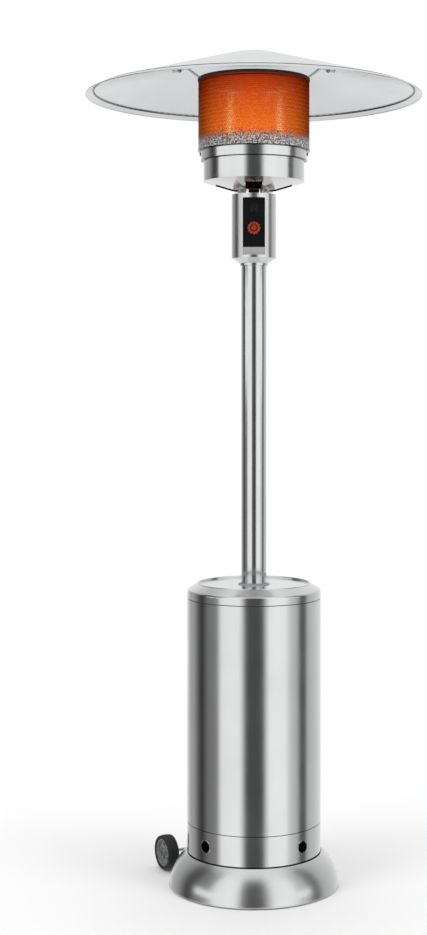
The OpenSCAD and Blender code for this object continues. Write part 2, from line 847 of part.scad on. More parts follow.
module wheel_hub(side) {
    color("#8d9092")
        at_wheel(side)
            difference() {
                union() {
                    translate([0, 0, -boss_in])
                        cylinder(d = boss_d, h = boss_in + wheel_w + boss_out);
                    translate([0, 0, (wheel_w - web_t) / 2])
                        cylinder(r = hub_r - hub_rim_t / 2, h = web_t);
                    translate([0, 0, hub_rim_in])
                        pipe(hub_r, hub_r - hub_rim_t, wheel_w - 2 * hub_rim_in);
                }
                translate([0, 0, -boss_in - 1])
                    cylinder(r = axle_r + run_fit, h = wheel_w + boss_in + boss_out + 2);
                around(web_hole_n)
                    translate([web_hole_ring, 0, 0])
                        cylinder(d = web_hole_d, h = wheel_w, $fn = 48);
            }
}

module wheel_tyre(side) {
    color(rubber)
        at_wheel(side)
            rotate_extrude()
                translate([0, wheel_w / 2])
                    difference() {
                        intersection() {
                            translate([tyre_in_r, -wheel_w / 2])
                                square([tyre_t, wheel_w]);
                            translate([wheel_r - tread_crown_r, 0])
                                circle(r = tread_crown_r, $fn = 180);
                        }
                        for (y = [-groove_at, groove_at])
                            translate([wheel_r - groove_h, y - groove_w / 2])
                                square([2 * groove_h, groove_w]);
                    }
}

module wheel_hub_left() { wheel_hub(1); }
module wheel_tyre_left() { wheel_tyre(1); }
module wheel_hub_right() { wheel_hub(-1); }
module wheel_tyre_right() { wheel_tyre(-1); }

// Support frame round the gas bottle

module support_leg(index) {
    foot_z = plate_top + leg_t / 2;
    top_z = socket_z - leg_t / 2;
    color(dark_steel)
        rotate([0, 0, leg_az[index]])
            difference() {
                flat_bar([
                    [leg_foot_r, foot_z], [leg_r, foot_z], [leg_r, socket_z - knee_drop],
                    [leg_turn_r, top_z], [leg_tip_r, top_z]
                ], leg_t, leg_w, leg_bend_r);
                translate([leg_foot_bolt_r, 0, foot_z])
                    bolt_hole(frame_bolt_d, 4 * leg_t);
                translate([leg_top_bolt_r, 0, top_z])
                    bolt_hole(frame_bolt_d, 4 * leg_t);
            }
}

module support_leg_1() { support_leg(0); }
module support_leg_2() { support_leg(1); }
module support_leg_3() { support_leg(2); }

module leg_bolts() {
    color(zinc)
        for (a = leg_az)
            rotate([0, 0, a]) {
                translate([leg_foot_bolt_r, 0, plate_top + leg_t])
                    bolt(frame_bolt_d, leg_t + plate_t, nut_h = pad_h / 2 - thread_past);
                translate([leg_top_bolt_r, 0, post_z])
                    bolt(frame_bolt_d, socket_t + leg_t);
            }
}

module at_post_screws() {
    around(2, 30)
        translate([sleeve_r, 0, post_z + sleeve_h * 0.6])
            rotate([0, 90, 0])
                children();
}

module post_socket() {
    color(dark_steel)
        difference() {
            union() {
                translate([0, 0, socket_z])
                    cylinder(d = socket_d, h = socket_t);
                translate([0, 0, post_z])
                    pipe(sleeve_r, post_r + fit, sleeve_h);
                for (a = leg_az)
                    rotate([90, 0, a + 60])
                        linear_extrude(height = gusset_t, center = true)
                            polygon([
                                [sleeve_r - sleeve_t / 2, post_z],
                                [socket_d / 2 - gusset_t, post_z],
                                [sleeve_r + gusset_t, post_z + sleeve_h * 0.8],
                                [sleeve_r - sleeve_t / 2, post_z + sleeve_h * 0.8]
                            ]);
            }
            translate([0, 0, socket_z])
                bolt_hole(inlet_shank_d, 4 * socket_t);
            for (a = leg_az)
                rotate([0, 0, a])
                    translate([leg_top_bolt_r, 0, socket_z])
                        bolt_hole(frame_bolt_d, 4 * socket_t);
            at_post_screws()
                bolt_hole(small_bolt_d, 4 * sleeve_t);
        }
}

module post_screws() {
    color(zinc)
        at_post_screws() {
            cylinder(d = small_bolt_d * 1.9, h = small_bolt_d * 0.65, $fn = 6);
            translate([0, 0, -sleeve_t - post_t - 2 * thread_past])
                cylinder(d = small_bolt_d, h = sleeve_t + post_t + 2 * thread_past, $fn = 32);
        }
}

// Gas line

module gas_inlet() {
    flare_h = (inlet_d - passage_d) / 4;
    color(brass)
        difference() {
            union() {
                translate([0, 0, socket_z - inlet_hex_h])
                    cylinder(d = inlet_hex_d, h = inlet_hex_h, $fn = 6);
                translate([0, 0, socket_z - inlet_hex_h - inlet_len])
                    cylinder(d = inlet_d, h = inlet_len);
                translate([0, 0, socket_z - inlet_hex_h - inlet_len - flare_h])
                    cylinder(d1 = inlet_d - 2 * flare_h, d2 = inlet_d, h = flare_h);
                translate([0, 0, socket_z])
                    cylinder(d = inlet_shank_d, h = socket_t + inlet_nut_h + 2 * thread_past);
            }
            translate([0, 0, socket_z - inlet_hex_h - inlet_len - flare_h - 1])
                cylinder(d = passage_d, h = inlet_hex_h + inlet_len + 2 * socket_t, $fn = 48);
            translate([0, 0, post_z + inlet_nut_h + 2 * thread_past - pipe_seat])
                cylinder(d = pipe_d + 2 * fit, h = 2 * pipe_seat, $fn = 48);
        }
}

module gas_inlet_nut() {
    color(brass)
        translate([0, 0, post_z])
            difference() {
                cylinder(d = inlet_hex_d + 2, h = inlet_nut_h, $fn = 6);
                translate([0, 0, -1])
                    cylinder(r = inlet_shank_d / 2 + fit, h = inlet_nut_h + 2);
            }
}

module gas_pipe() {
    low = post_z + inlet_nut_h + 2 * thread_past - pipe_seat;
    color("#b8763a")
        translate([0, 0, low])
            pipe(pipe_d / 2, pipe_d / 2 - pipe_t, inlet_boss_z + pipe_seat - low, $fn = 48);
}

// Post and sliding housing

module post() {
    color(steel)
        difference() {
            translate([0, 0, post_z])
                pipe(post_r, post_r - post_t, post_len);
            at_post_screws()
                bolt_hole(small_bolt_d, 4 * (sleeve_t + post_t));
        }
}

module vent_ring() {
    color(steel)
        difference() {
            union() {
                rotate_extrude($fn = 180)
                    polygon([
                        [ledge_in_r + end_gap, ledge_z], [housing_r, ledge_z], [housing_r, ring_top],
                        [joint_r, ring_top], [joint_r, ring_top + joint_len],
                        [joint_r - housing_t, ring_top + joint_len],
                        [joint_r - housing_t, ring_top - housing_t - fit],
                        [housing_in_r, ring_top - 2 * housing_t - fit],
                        [housing_in_r, ledge_z + housing_t], [ledge_in_r + end_gap, ledge_z + housing_t]
                    ]);
                at_vents()
                    translate([0, 0, -2 * housing_t])
                        cylinder(r = vent_d / 2 + vent_rim_w, h = 2 * housing_t + vent_rim_h, $fn = 64);
            }
            at_vents()
                cylinder(d = vent_d, h = 8 * housing_t, center = true, $fn = 64);
        }
}

// On the lower ring's wall, with local z pointing outwards.
module at_vents() {
    around(vent_n, 45)
        translate([housing_r, 0, ring_top - vent_drop])
            rotate([0, 90, 0])
                children();
}

module housing_barrel() {
    lock_z = ring_top + joint_len + end_gap;
    color(steel) {
        rotate_extrude($fn = 180)
            polygon([
                [housing_in_r, ring_top], [housing_r - seam_depth, ring_top],
                [housing_r - seam_depth, ring_top + seam_h], [housing_r, ring_top + seam_h],
                [housing_r, barrel_top - seam_h], [housing_r - seam_depth, barrel_top - seam_h],
                [housing_r - seam_depth, barrel_top], [housing_in_r, barrel_top]
            ]);
        intersection() {
            translate([-lock_w / 2, 0, lock_z])
                cube([lock_w, housing_r, barrel_top - joint_len - end_gap - lock_z]);
            translate([0, 0, lock_z])
                pipe(housing_in_r + housing_t / 2, housing_in_r - housing_t, barrel_h);
        }
    }
}

module housing_cap() {
    band_top = barrel_top + cap_band_h;
    disc_low = cap_disc_top - housing_t;
    rim_in = cap_rim_r - cap_rim_w;
    roll_r = cap_rim_w / 2;
    steps = 8;
    rim_foot = [cap_rim_r, cap_top - roll_r];
    rim = [for (i = [0 : steps])
        rim_foot + roll_r * [cos(180 * i / steps) - 1, sin(180 * i / steps)]];
    shoulder = bend([housing_r, barrel_top], [housing_r, band_top], rim_foot, cap_round_r, steps);
    color(steel)
        rotate_extrude($fn = 180)
            polygon(concat(
                [[housing_r, barrel_top]],
                shoulder,
                rim,
                [
                    [rim_in, cap_disc_top], [cap_hole_r, cap_disc_top],
                    [cap_hole_r, disc_low], [rim_in, disc_low],
                    [housing_in_r - housing_t, band_top - housing_t],
                    [joint_r - housing_t, barrel_top], [joint_r - housing_t, barrel_top - joint_len],
                    [joint_r, barrel_top - joint_len], [joint_r, barrel_top]
                ]
            ));
}

module post_grommet() {
    inner = post_r + slide_gap;
    outer = inner + grommet_t;
    disc_low = cap_disc_top - housing_t;
    color(black)
        rotate_extrude()
            polygon([
                [inner, disc_low - grommet_h], [outer, disc_low - grommet_h], [outer, disc_low],
                [cap_hole_r - fit, disc_low], [cap_hole_r - fit, cap_disc_top],
                [outer, cap_disc_top], [outer, cap_disc_top + grommet_h / 2],
                [outer - grommet_h / 2, cap_disc_top + grommet_h],
                [inner, cap_disc_top + grommet_h]
            ]);
}

// Control neck

module neck_base() {
    collar_r = post_r + fit + collar_t;
    floor_r = neck_in_r - fit;
    color(steel)
        rotate_extrude()
            polygon([
                [post_r + fit, neck_z - collar_h], [collar_r, neck_z - collar_h],
                [collar_r, neck_z - neck_cone_h], [neck_r - neck_t, neck_z], [floor_r, neck_z],
                [floor_r, post_top + floor_lip], [post_r - 2 * collar_t, post_top + floor_lip],
                [post_r - 2 * collar_t, post_top], [post_r + fit, post_top]
            ]);
}

module neck_shell() {
    color(steel)
        difference() {
            translate([0, 0, neck_z])
                pipe(neck_r, neck_in_r, neck_h);
            translate([-window_w / 2, -2 * neck_r, tab_z])
                cube([window_w, 2 * neck_r, window_h + tab_h]);
        }
}

// Upright plate across the neck, cut to the inside of the shell.
module neck_plate(y, t, z0, z1) {
    intersection() {
        translate([-neck_r, y, z0])
            cube([neck_d, t, z1 - z0]);
        translate([0, 0, z0])
            cylinder(r = neck_in_r - fit, h = z1 - z0);
    }
}

module at_valve_screws() {
    for (side = [-1, 1])
        translate([side * knob_d * 0.33, panel_y, knob_z])
            rotate([-90, 0, 0])
                children();
}

module control_panel() {
    color(black)
        difference() {
            neck_plate(panel_y, panel_t, tab_z, window_top + window_drop / 3);
            translate([0, panel_y, knob_z])
                rotate([90, 0, 0])
                    bolt_hole(stem_d, 4 * panel_t);
            translate([0, panel_y, igniter_z])
                rotate([90, 0, 0])
                    bolt_hole(igniter_d, 4 * panel_t);
            at_valve_screws() {
                bolt_hole(small_bolt_d, 4 * panel_t);
                translate([0, 0, -1])
                    cylinder(d = small_bolt_d * 1.7 + 2 * bolt_gap, h = 1 + panel_t * 0.7, $fn = 48);
            }
        }
}

module panel_tab() {
    color(steel)
        translate([-window_w / 2 + end_gap, panel_y - tab_t, tab_z])
            cube([window_w - 2 * end_gap, tab_t, tab_h]);
}

module gas_valve() {
    chamber_len = plunger_len + push_travel + push_spare + end_gap;
    color(brass)
        difference() {
            union() {
                translate([-valve_w / 2, panel_back, valve_z0])
                    cube([valve_w, valve_back - panel_back, valve_h]);
                translate([0, 0, inlet_boss_z])
                    cylinder(d = inlet_boss_d, h = inlet_boss_len + 1);
                translate([0, 0, valve_z1 - 1])
                    cylinder(d = outlet_boss_d, h = outlet_boss_len * 0.7 + 1);
                translate([0, 0, valve_z1 - 1])
                    cylinder(d = outlet_boss_d * 0.6, h = outlet_boss_len + 1);
                at_pilot_lines()
                    translate([0, 0, valve_z1 - pipe_seat])
                        cylinder(d = pilot_d * 1.8, h = pipe_seat);
            }
            translate([0, 0, inlet_boss_z - 1])
                cylinder(r = pipe_d / 2 + fit, h = pipe_seat + 1, $fn = 48);
            translate([0, 0, inlet_boss_z])
                cylinder(d = passage_d, h = inlet_boss_len + valve_h / 4, $fn = 48);
            translate([0, panel_back - 1, knob_z])
                rotate([-90, 0, 0])
                    cylinder(r = stem_d / 2 + run_fit, h = valve_front_t + 2, $fn = 48);
            translate([0, chamber_y, knob_z])
                rotate([-90, 0, 0])
                    cylinder(r = plunger_d / 2 + run_fit, h = chamber_len, $fn = 64);
            at_valve_screws()
                bolt_hole(small_bolt_d, 4 * valve_front_t);
            at_pilot_lines()
                translate([0, 0, valve_z1 - pilot_d])
                    cylinder(r = pilot_d / 2 + fit, h = 2 * pilot_d, $fn = 32);
        }
}

module valve_screws() {
    color(zinc)
        at_valve_screws() {
            cylinder(d = small_bolt_d * 1.7, h = panel_t * 0.7, $fn = 48);
            cylinder(d = small_bolt_d, h = panel_t + valve_front_t, $fn = 32);
        }
}

module valve_plunger() {
    color(zinc)
        translate([0, chamber_y + end_gap / 4, knob_z])
            rotate([-90, 0, 0])
                difference() {
                    cylinder(d = plunger_d, h = plunger_len, $fn = 64);
                    translate([0, 0, -1])
                        cylinder(r = stem_pin_d / 2 + run_fit, h = plunger_len * 0.7 + 1, $fn = 48);
                }
}

module valve_stem() {
    shoulder = chamber_y;
    color(zinc)
        translate([0, shoulder, knob_z])
            rotate([-90, 0, 0]) {
                translate([0, 0, knob_back - shoulder - knob_len * 0.7])
                    cylinder(d = stem_d, h = shoulder - knob_back + knob_len * 0.7, $fn = 48);
                translate([0, 0, -1])
                    cylinder(d = stem_pin_d, h = plunger_len * 0.6 + 1, $fn = 48);
            }
}

module control_knob() {
    skirt = knob_len * 0.25;
    grip_r = knob_d / 2 - pointer_h;
    color("#d1431c")
        translate([0, knob_back, knob_z])
            rotate([90, 0, 0])
                difference() {
                    union() {
                        cylinder(d = knob_d, h = skirt);
                        difference() {
                            rotate_extrude()
                                polygon([
                                    [0, skirt / 2], [grip_r, skirt / 2],
                                    [grip_r, knob_len - control_edge],
                                    [grip_r - control_edge, knob_len], [0, knob_len]
                                ]);
                            around(knob_flutes, 180 / knob_flutes)
                                translate([knob_d / 2 + flute_depth, 0, skirt])
                                    cylinder(r = 2.5 * flute_depth, h = knob_len, $fn = 32);
                        }
                        translate([-pointer_h, 0, knob_len - pointer_h])
                            cube([2 * pointer_h, grip_r * 0.8, 2 * pointer_h]);
                    }
                    translate([0, 0, -1])
                        cylinder(r = stem_d / 2 + fit, h = knob_len * 0.72 + 1, $fn = 48);
                }
}

module igniter_body() {
    depth = button_travel + 2 * bezel_t;
    color(black)
        translate([0, panel_y, igniter_z])
            rotate([-90, 0, 0])
                difference() {
                    union() {
                        rotate_extrude()
                            polygon([
                                [0, -bezel_t], [bezel_d / 2 - control_edge, -bezel_t],
                                [bezel_d / 2, control_edge - bezel_t], [bezel_d / 2, 0], [0, 0]
                            ]);
                        cylinder(d = igniter_d, h = panel_t + igniter_len);
                    }
                    translate([0, 0, -bezel_t - 1])
                        cylinder(r = button_d / 2 + run_fit, h = depth + 1 + bezel_t, $fn = 64);
                }
}

module igniter_nut() {
    color(zinc)
        translate([0, panel_back, igniter_z])
            rotate([-90, 0, 0])
                difference() {
                    cylinder(d = igniter_d * 1.5, h = igniter_nut_t, $fn = 6);
                    translate([0, 0, -1])
                        cylinder(r = igniter_d / 2 + fit, h = igniter_nut_t + 2);
                }
}

module igniter_button() {
    color(black)
        translate([0, panel_y - bezel_t - button_proud, igniter_z])
            rotate([-90, 0, 0])
                rotate_extrude()
                    polygon([
                        [0, 0], [button_d / 2 - control_edge, 0], [button_d / 2, control_edge],
                        [button_d / 2, button_proud + 2 * bezel_t], [0, button_proud + 2 * bezel_t]
                    ]);
}

module tilt_switch() {
    ear = tilt_depth / 3;
    color(black)
        translate([-tilt_w / 2, post_r + floor_lip, post_top + floor_lip]) {
            cube([tilt_w, tilt_depth, tilt_h]);
            translate([-ear, 0, 0])
                cube([tilt_w + 2 * ear, tilt_depth / 4, ear]);
        }
}

// Burner

module at_uprights() {
    around(4, 45)
        translate([upright_bolt_r, 0, pan_z])
            children();
}

module burner_support() {
    low = support_z + support_t / 2;
    high = pan_z - support_t / 2;
    wall = upright_r + support_t / 2;
    color(zinc)
        difference() {
            union() {
                translate([0, 0, support_z])
                    pipe(neck_in_r - fit, support_hole_d / 2, support_t);
                around(4, 45)
                    flat_bar([
                        [wall, low], [wall, high], [wall + support_t / 2 + upright_foot, high]
                    ], support_t, upright_w, support_t);
            }
            at_uprights()
                bolt_hole(small_bolt_d, 4 * support_t);
        }
}

module support_bolts() {
    color(zinc)
        at_uprights()
            translate([0, 0, pan_t])
                bolt(small_bolt_d, pan_t + support_t);
}

module burner_pan() {
    flat_r = pan_flat_d / 2;
    color(steel)
        difference() {
            rotate_extrude($fn = 144)
                polygon([
                    [venturi_r + fit, pan_z], [flat_r, pan_z], [pan_r, pan_wall_z], [pan_r, pan_top],
                    [pan_r - pan_flange_w, pan_top], [pan_r - pan_flange_w, pan_top - pan_t],
                    [pan_r - pan_t, pan_top - pan_t], [pan_r - pan_t, pan_wall_z + pan_t],
                    [flat_r, pan_z + pan_t], [venturi_r + fit, pan_z + pan_t]
                ]);
            around(4)
                translate([port_in_r, -port_w / 2, pan_z - pan_cone_h])
                    cube([port_out_r - port_in_r, port_w, 2 * pan_cone_h]);
            at_uprights()
                bolt_hole(small_bolt_d, 4 * pan_t);
            at_pilot_lines()
                translate([0, 0, pan_z])
                    bolt_hole(pilot_d, 4 * pan_t);
        }
}

module burner_ring() {
    color(steel)
        difference() {
            rotate_extrude($fn = 144)
                polygon([
                    [pan_r - pan_flange_w, pan_top], [ring_r, pan_top],
                    [ring_r, burner_top - pan_t], [ring_r + ring_flange_w, burner_top - pan_t],
                    [ring_r + ring_flange_w, burner_top], [ring_r - pan_t, burner_top],
                    [ring_r - pan_t, pan_top + pan_t], [pan_r - pan_flange_w, pan_top + pan_t]
                ]);
            at_emitter_screws()
                bolt_hole(small_bolt_d, 8 * pan_t);
        }
}

module venturi_tube() {
    flange_z = pan_z + pan_t;
    color("#3a3b3c")
        difference() {
            union() {
                translate([0, 0, pan_z - venturi_down])
                    pipe(venturi_r, venturi_r - venturi_t, venturi_top - pan_z + venturi_down);
                translate([0, 0, flange_z])
                    pipe(venturi_flange_d / 2, venturi_r - venturi_t, 2 * pan_t);
            }
            around(2)
                translate([0, 0, pan_z - venturi_down * 0.72])
                    rotate([0, 90, 0])
                        cylinder(d = air_hole_d, h = 2 * venturi_d, center = true, $fn = 48);
            at_pilot_lines()
                translate([0, 0, flange_z])
                    bolt_hole(pilot_d, 8 * pan_t);
        }
}

module burner_head() {
    low_r = head_d / 2;
    top_r = head_top_d / 2;
    top_z = head_z + head_h;
    color(dark_steel)
        difference() {
            rotate_extrude()
                polygon([
                    [venturi_r - venturi_t, head_z], [low_r, head_z], [low_r, head_z + 2 * head_t],
                    [top_r, top_z], [0, top_z], [0, top_z - head_t], [top_r - head_t, top_z - head_t],
                    [low_r - 3 * head_t, head_z + head_t], [venturi_r - venturi_t, head_z + head_t]
                ]);
            around(flame_n)
                translate([(low_r + top_r) / 2, 0, head_z + head_h / 2])
                    rotate([0, 60, 0])
                        cylinder(d = flame_d, h = 6 * head_t, center = true, $fn = 24);
        }
}

module at_pilot_lines() {
    for (y = [0, -pilot_pitch])
        translate([pilot_x0, y, 0])
            children();
}

module pilot_bracket() {
    inner = venturi_flange_d / 2;
    outer = pilot_x1 + pilot_d;
    color(zinc)
        difference() {
            translate([inner, -pilot_bracket_w / 2, pilot_bracket_z])
                cube([outer - inner, pilot_bracket_w, pilot_bracket_t]);
            translate([pilot_x1, 0, pilot_bracket_z])
                bolt_hole(pilot_d, 4 * pilot_bracket_t);
            translate([pilot_x1, -pilot_pitch, pilot_bracket_z])
                bolt_hole(thermo_d, 4 * pilot_bracket_t);
            translate([pilot_x1, pilot_pitch, pilot_bracket_z])
                bolt_hole(insulator_d, 4 * pilot_bracket_t);
        }
}

module pilot_tube() {
    color("#b8763a") {
        dogleg(pilot_d / 2, pilot_bend_r, pilot_x0, pilot_x1, valve_z1 - pilot_d, pilot_turn_z,
            pilot_bracket_z + pilot_tip_h);
        translate([pilot_x1, 0, pilot_bracket_z + pilot_bracket_t])
            cylinder(d = 2 * pilot_d, h = pilot_tip_h, $fn = 32);
    }
}

module thermocouple() {
    color("#b08d57")
        translate([0, -pilot_pitch, 0])
            dogleg(thermo_d / 2, pilot_bend_r, pilot_x0, pilot_x1, valve_z1 - pilot_d, pilot_turn_z,
                pilot_bracket_z + 1.5 * pilot_tip_h);
}

module spark_electrode() {
    low = pilot_bracket_z - pilot_tip_h;
    high = pilot_bracket_z + pilot_bracket_t;
    color("#e8e4da")
        translate([pilot_x1, pilot_pitch, 0]) {
            translate([0, 0, low])
                cylinder(d = insulator_d, h = high + pilot_tip_h / 2 - low, $fn = 32);
            translate([0, 0, high])
                cylinder(d = insulator_d + 3, h = 2, $fn = 32);
            translate([0, 0, high])
                cylinder(d = insulator_d / 3, h = pilot_tip_h, $fn = 24);
        }
}

// Emitter

module at_emitter_screws() {
    for (a = [0, 90, 180])
        rotate([0, 0, a])
            translate([ring_r, 0, burner_top - ring_band_h * 0.35])
                rotate([0, 90, 0])
                    children();
}

module emitter_screen() {
    color("#d2541b")
        translate([0, 0, burner_top])
            pipe(emitter_r, emitter_r - emitter_t, emitter_h, $fn = 144);
}

module emitter_screws() {
    color(zinc)
        at_emitter_screws() {
            cylinder(d = small_bolt_d * 1.9, h = small_bolt_d * 0.65, $fn = 48);
            translate([0, 0, -pan_t - small_bolt_d])
                cylinder(d = small_bolt_d, h = pan_t + small_bolt_d, $fn = 32);
        }
}

module at_lid_bolts() {
    around(lid_bolt_n, 180 / lid_bolt_n)
        translate([lid_bolt_r, 0, lid_top])
            children();
}

module emitter_lid() {
    color(dark_steel)
        difference() {
            rotate_extrude($fn = 144)
                polygon([
                    [0, emitter_top], [emitter_r + fit, emitter_top],
                    [emitter_r + fit, emitter_top - lid_lip], [lid_r, emitter_top - lid_lip],
                    [lid_r, lid_top - lid_wall], [lid_r - lid_wall, lid_top], [0, lid_top]
                ]);
            at_lid_bolts()
                bolt_hole(small_bolt_d, 4 * lid_t);
        }
}

// Reflector

module reflector_bracket() {
    level = lid_top + arm_t / 2;
    gap = arm_t / 2 / cos(dish_slope) + end_gap;
    pad_r = arm_bend_r1 + arm_pad * cos(dish_slope);
    color(zinc)
        difference() {
            union() {
                translate([0, 0, lid_top])
                    cylinder(d = spider_d, h = arm_t);
                around(arm_n)
                    flat_bar([
                        [spider_d / 4, level], [arm_bend_r0, level],
                        [arm_bend_r1, dish_under(arm_bend_r1) - gap], [pad_r, dish_under(pad_r) - gap]
                    ], arm_t, arm_w, 3 * arm_t);
            }
            at_lid_bolts()
                bolt_hole(small_bolt_d, 4 * arm_t);
            at_dish_bolts()
                bolt_hole(small_bolt_d, 8 * arm_t);
        }
}

module lid_bolts() {
    color(zinc)
        at_lid_bolts()
            translate([0, 0, arm_t])
                bolt(small_bolt_d, arm_t + lid_t);
}

// On the dish's underside, with local z square to the cone and pointing up.
module at_dish_bolts() {
    swing = asin(dish_bolt_pitch / 2 / dish_bolt_r);
    around(arm_n)
        for (turn = [-swing, swing])
            rotate([0, 0, turn])
                translate([dish_bolt_r, 0, dish_under(dish_bolt_r)])
                    rotate([0, dish_slope, 0])
                        children();
}

// Section of the dish: round crown, straight cone, pressed bead, steeper rim and rolled hem.
module dish_profile() {
    steps = 6;
    arc_z = dish_under(dish_crown_r) - dish_crown_arc * cos(dish_slope);
    function crown(r) =
        [for (i = [0 : steps]) [r * sin(dish_slope * i / steps), arc_z + r * cos(dish_slope * i / steps)]];
    function round_of(centre, r, along, across, from, to, n) =
        [for (i = [0 : n])
            let (a = from + (to - from) * i / n)
            centre + r * (along * cos(a) + across * sin(a))];
    over = crown(dish_crown_arc + dish_t);
    cone_up = [sin(dish_slope), cos(dish_slope)];
    rim_out = [cos(dish_rim_slope), -sin(dish_rim_slope)];
    rim_up = [sin(dish_rim_slope), cos(dish_rim_slope)];
    fold = [dish_cone_r, dish_z];
    bead = fold + dish_bead_r * rim_out;
    groove_r = dish_bead_r - dish_t;
    hem_r = dish_r - dish_hem_r;
    under_r = hem_r - dish_t / 2 * rim_up[0];
    hem = [under_r, dish_z - (under_r - dish_cone_r) * tan(dish_rim_slope)] + dish_t / 2 * rim_up;
    hem_turn = 180 - asin(dish_t / 2 / dish_hem_r);
    polygon(concat(
        crown(dish_crown_arc),
        round_of(bead, dish_bead_r, -rim_out, -rim_up, 0, 180, steps),
        round_of(hem, dish_hem_r, rim_out, rim_up, -hem_turn, hem_turn, 2 * steps),
        [bead + groove_r * rim_out + dish_t * rim_up],
        round_of(bead, groove_r, rim_out, -rim_up, 0, 180, steps),
        [
            bead - groove_r * rim_out + dish_t * rim_up,
            fold + dish_t * (cone_up + rim_up) / (1 + cone_up * rim_up)
        ],
        [for (i = [steps : -1 : 0]) over[i]]
    ));
}

module reflector() {
    color("#d8dadb")
        difference() {
            rotate_extrude($fn = 160)
                dish_profile();
            at_dish_bolts()
                bolt_hole(small_bolt_d, 8 * dish_t);
        }
}

module reflector_bolts() {
    color(zinc)
        at_dish_bolts()
            translate([0, 0, dish_t + fit])
                bolt(small_bolt_d, dish_t + arm_t + end_gap + 3 * fit);
}

foot_pads();
foot_screws();
base_plate();
base_skirt();
wheel_bracket();
bracket_bolts();
wheel_axle();
axle_caps();
wheel_hub_left();
wheel_tyre_left();
wheel_hub_right();
wheel_tyre_right();
support_leg_1();
support_leg_2();
support_leg_3();
leg_bolts();
post_socket();
post_screws();
gas_inlet();
gas_inlet_nut();
gas_pipe();
post();
vent_ring();
housing_barrel();
housing_cap();
post_grommet();
neck_base();
neck_shell();
control_panel();
panel_tab();
gas_valve();
valve_screws();
valve_plunger();
valve_stem();
control_knob();
igniter_body();
igniter_nut();
igniter_button();
tilt_switch();
burner_support();
support_bolts();
burner_pan();
burner_ring();
venturi_tube();
burner_head();
pilot_bracket();
pilot_tube();
thermocouple();
spark_electrode();
emitter_screen();
emitter_screws();
emitter_lid();
reflector_bracket();
lid_bolts();
reflector();
reflector_bolts();
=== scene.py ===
"""Patio heater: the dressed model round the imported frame, laid out as an add-on and run as a script."""

import json
import math

import bmesh
import bpy
from mathutils import Matrix, Vector


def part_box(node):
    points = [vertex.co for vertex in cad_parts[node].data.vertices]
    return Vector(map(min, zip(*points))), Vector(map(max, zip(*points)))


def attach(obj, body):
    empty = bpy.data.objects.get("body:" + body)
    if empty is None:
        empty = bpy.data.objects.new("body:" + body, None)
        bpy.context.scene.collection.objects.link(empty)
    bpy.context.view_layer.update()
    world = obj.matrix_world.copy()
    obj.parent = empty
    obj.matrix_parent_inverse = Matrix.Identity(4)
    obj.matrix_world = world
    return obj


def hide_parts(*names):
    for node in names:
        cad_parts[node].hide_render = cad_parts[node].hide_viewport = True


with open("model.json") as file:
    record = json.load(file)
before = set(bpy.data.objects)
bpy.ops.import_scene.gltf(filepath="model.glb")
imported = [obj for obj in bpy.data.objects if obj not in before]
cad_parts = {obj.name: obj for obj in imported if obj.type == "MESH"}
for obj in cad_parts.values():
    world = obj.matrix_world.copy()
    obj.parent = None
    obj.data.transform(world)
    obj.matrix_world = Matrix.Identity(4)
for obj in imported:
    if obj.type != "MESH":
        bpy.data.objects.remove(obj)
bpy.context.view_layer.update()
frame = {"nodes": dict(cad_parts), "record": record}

bl_info = {
    "name": "Patio heater",
    "version": (1, 0, 0),
    "blender": (4, 5, 0),
    "location": "3D View > Sidebar > Heater",
    "description": "Finishes and fine shapes of a floor-standing patio heater",
    "category": "Object",
}

MM = 0.001
FULL_TURN = 2 * math.pi

# Body of every node, and the material slot that the record gives it
BODY_OF = {
    node: body for body, nodes in frame["record"]["behaviour"]["bodies"].items() for node in nodes
}
SLOT_OF = {part["node"]: part["material_slot"] for part in frame["record"]["subparts"]}


def span(node):
    """Outer radius, lowest and highest point of a node that stands round the post axis."""
    low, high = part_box(node)
    return (high.x - low.x) / 2, low.z, high.z


class HeaterSizes(bpy.types.PropertyGroup):
    """Sizes of the fine shapes, in metres."""

    edge: bpy.props.FloatProperty(
        name="Edge break", description="Width of the broken edges", default=0.4 * MM, unit="LENGTH")
    roll: bpy.props.FloatProperty(
        name="Sheet edge", description="Radius of a rounded sheet edge", default=0.35 * MM, unit="LENGTH")
    steps: bpy.props.IntProperty(
        name="Turning steps", description="Steps round a spun piece", default=192, min=24)
    # Seam, skirt gap, dish rim and bead place and size the lines of painted shade on the sheet finishes
    seam: bpy.props.FloatProperty(
        name="Seam", description="Height of the dark line at a seam", default=1.8 * MM, unit="LENGTH")
    skirt_gap: bpy.props.FloatProperty(
        name="Skirt gap", description="Half the height of the dark line above the skirt",
        default=6.4 * MM, unit="LENGTH")
    rim: bpy.props.FloatProperty(
        name="Dish rim", description="Width of the dish's steeper rim", default=23.5 * MM, unit="LENGTH")
    bead: bpy.props.FloatProperty(
        name="Dish bead", description="Half the width of the dark line beside the dish's bead",
        default=2.5 * MM, unit="LENGTH")
    hole_count: bpy.props.IntProperty(
        name="Holes round", description="Holes in one row of the emitter screen", default=150, min=24)
    hole_share: bpy.props.FloatProperty(
        name="Hole share", description="Hole width as a share of the spacing", default=0.27,
        min=0.2, max=0.9, subtype="FACTOR")
    flutes: bpy.props.IntProperty(
        name="Knob flutes", description="Grip flutes round the knob", default=12, min=3)
    pointer: bpy.props.FloatProperty(
        name="Pointer", description="Height of the knob's raised pointer", default=1.2 * MM, unit="LENGTH")
    # Painted highlight: pale streaks on the emitter screen, this many round
    highlight_streaks: bpy.props.IntProperty(
        name="Flames", description="Flames that lick the screen all round", default=7, min=1)
    hem: bpy.props.FloatProperty(
        name="Hem", description="Height of the screen's plain hems", default=7 * MM, unit="LENGTH")
    screen_wall: bpy.props.FloatProperty(
        name="Screen wall", description="Thickness of the screen's sheet", default=0.8 * MM, unit="LENGTH")


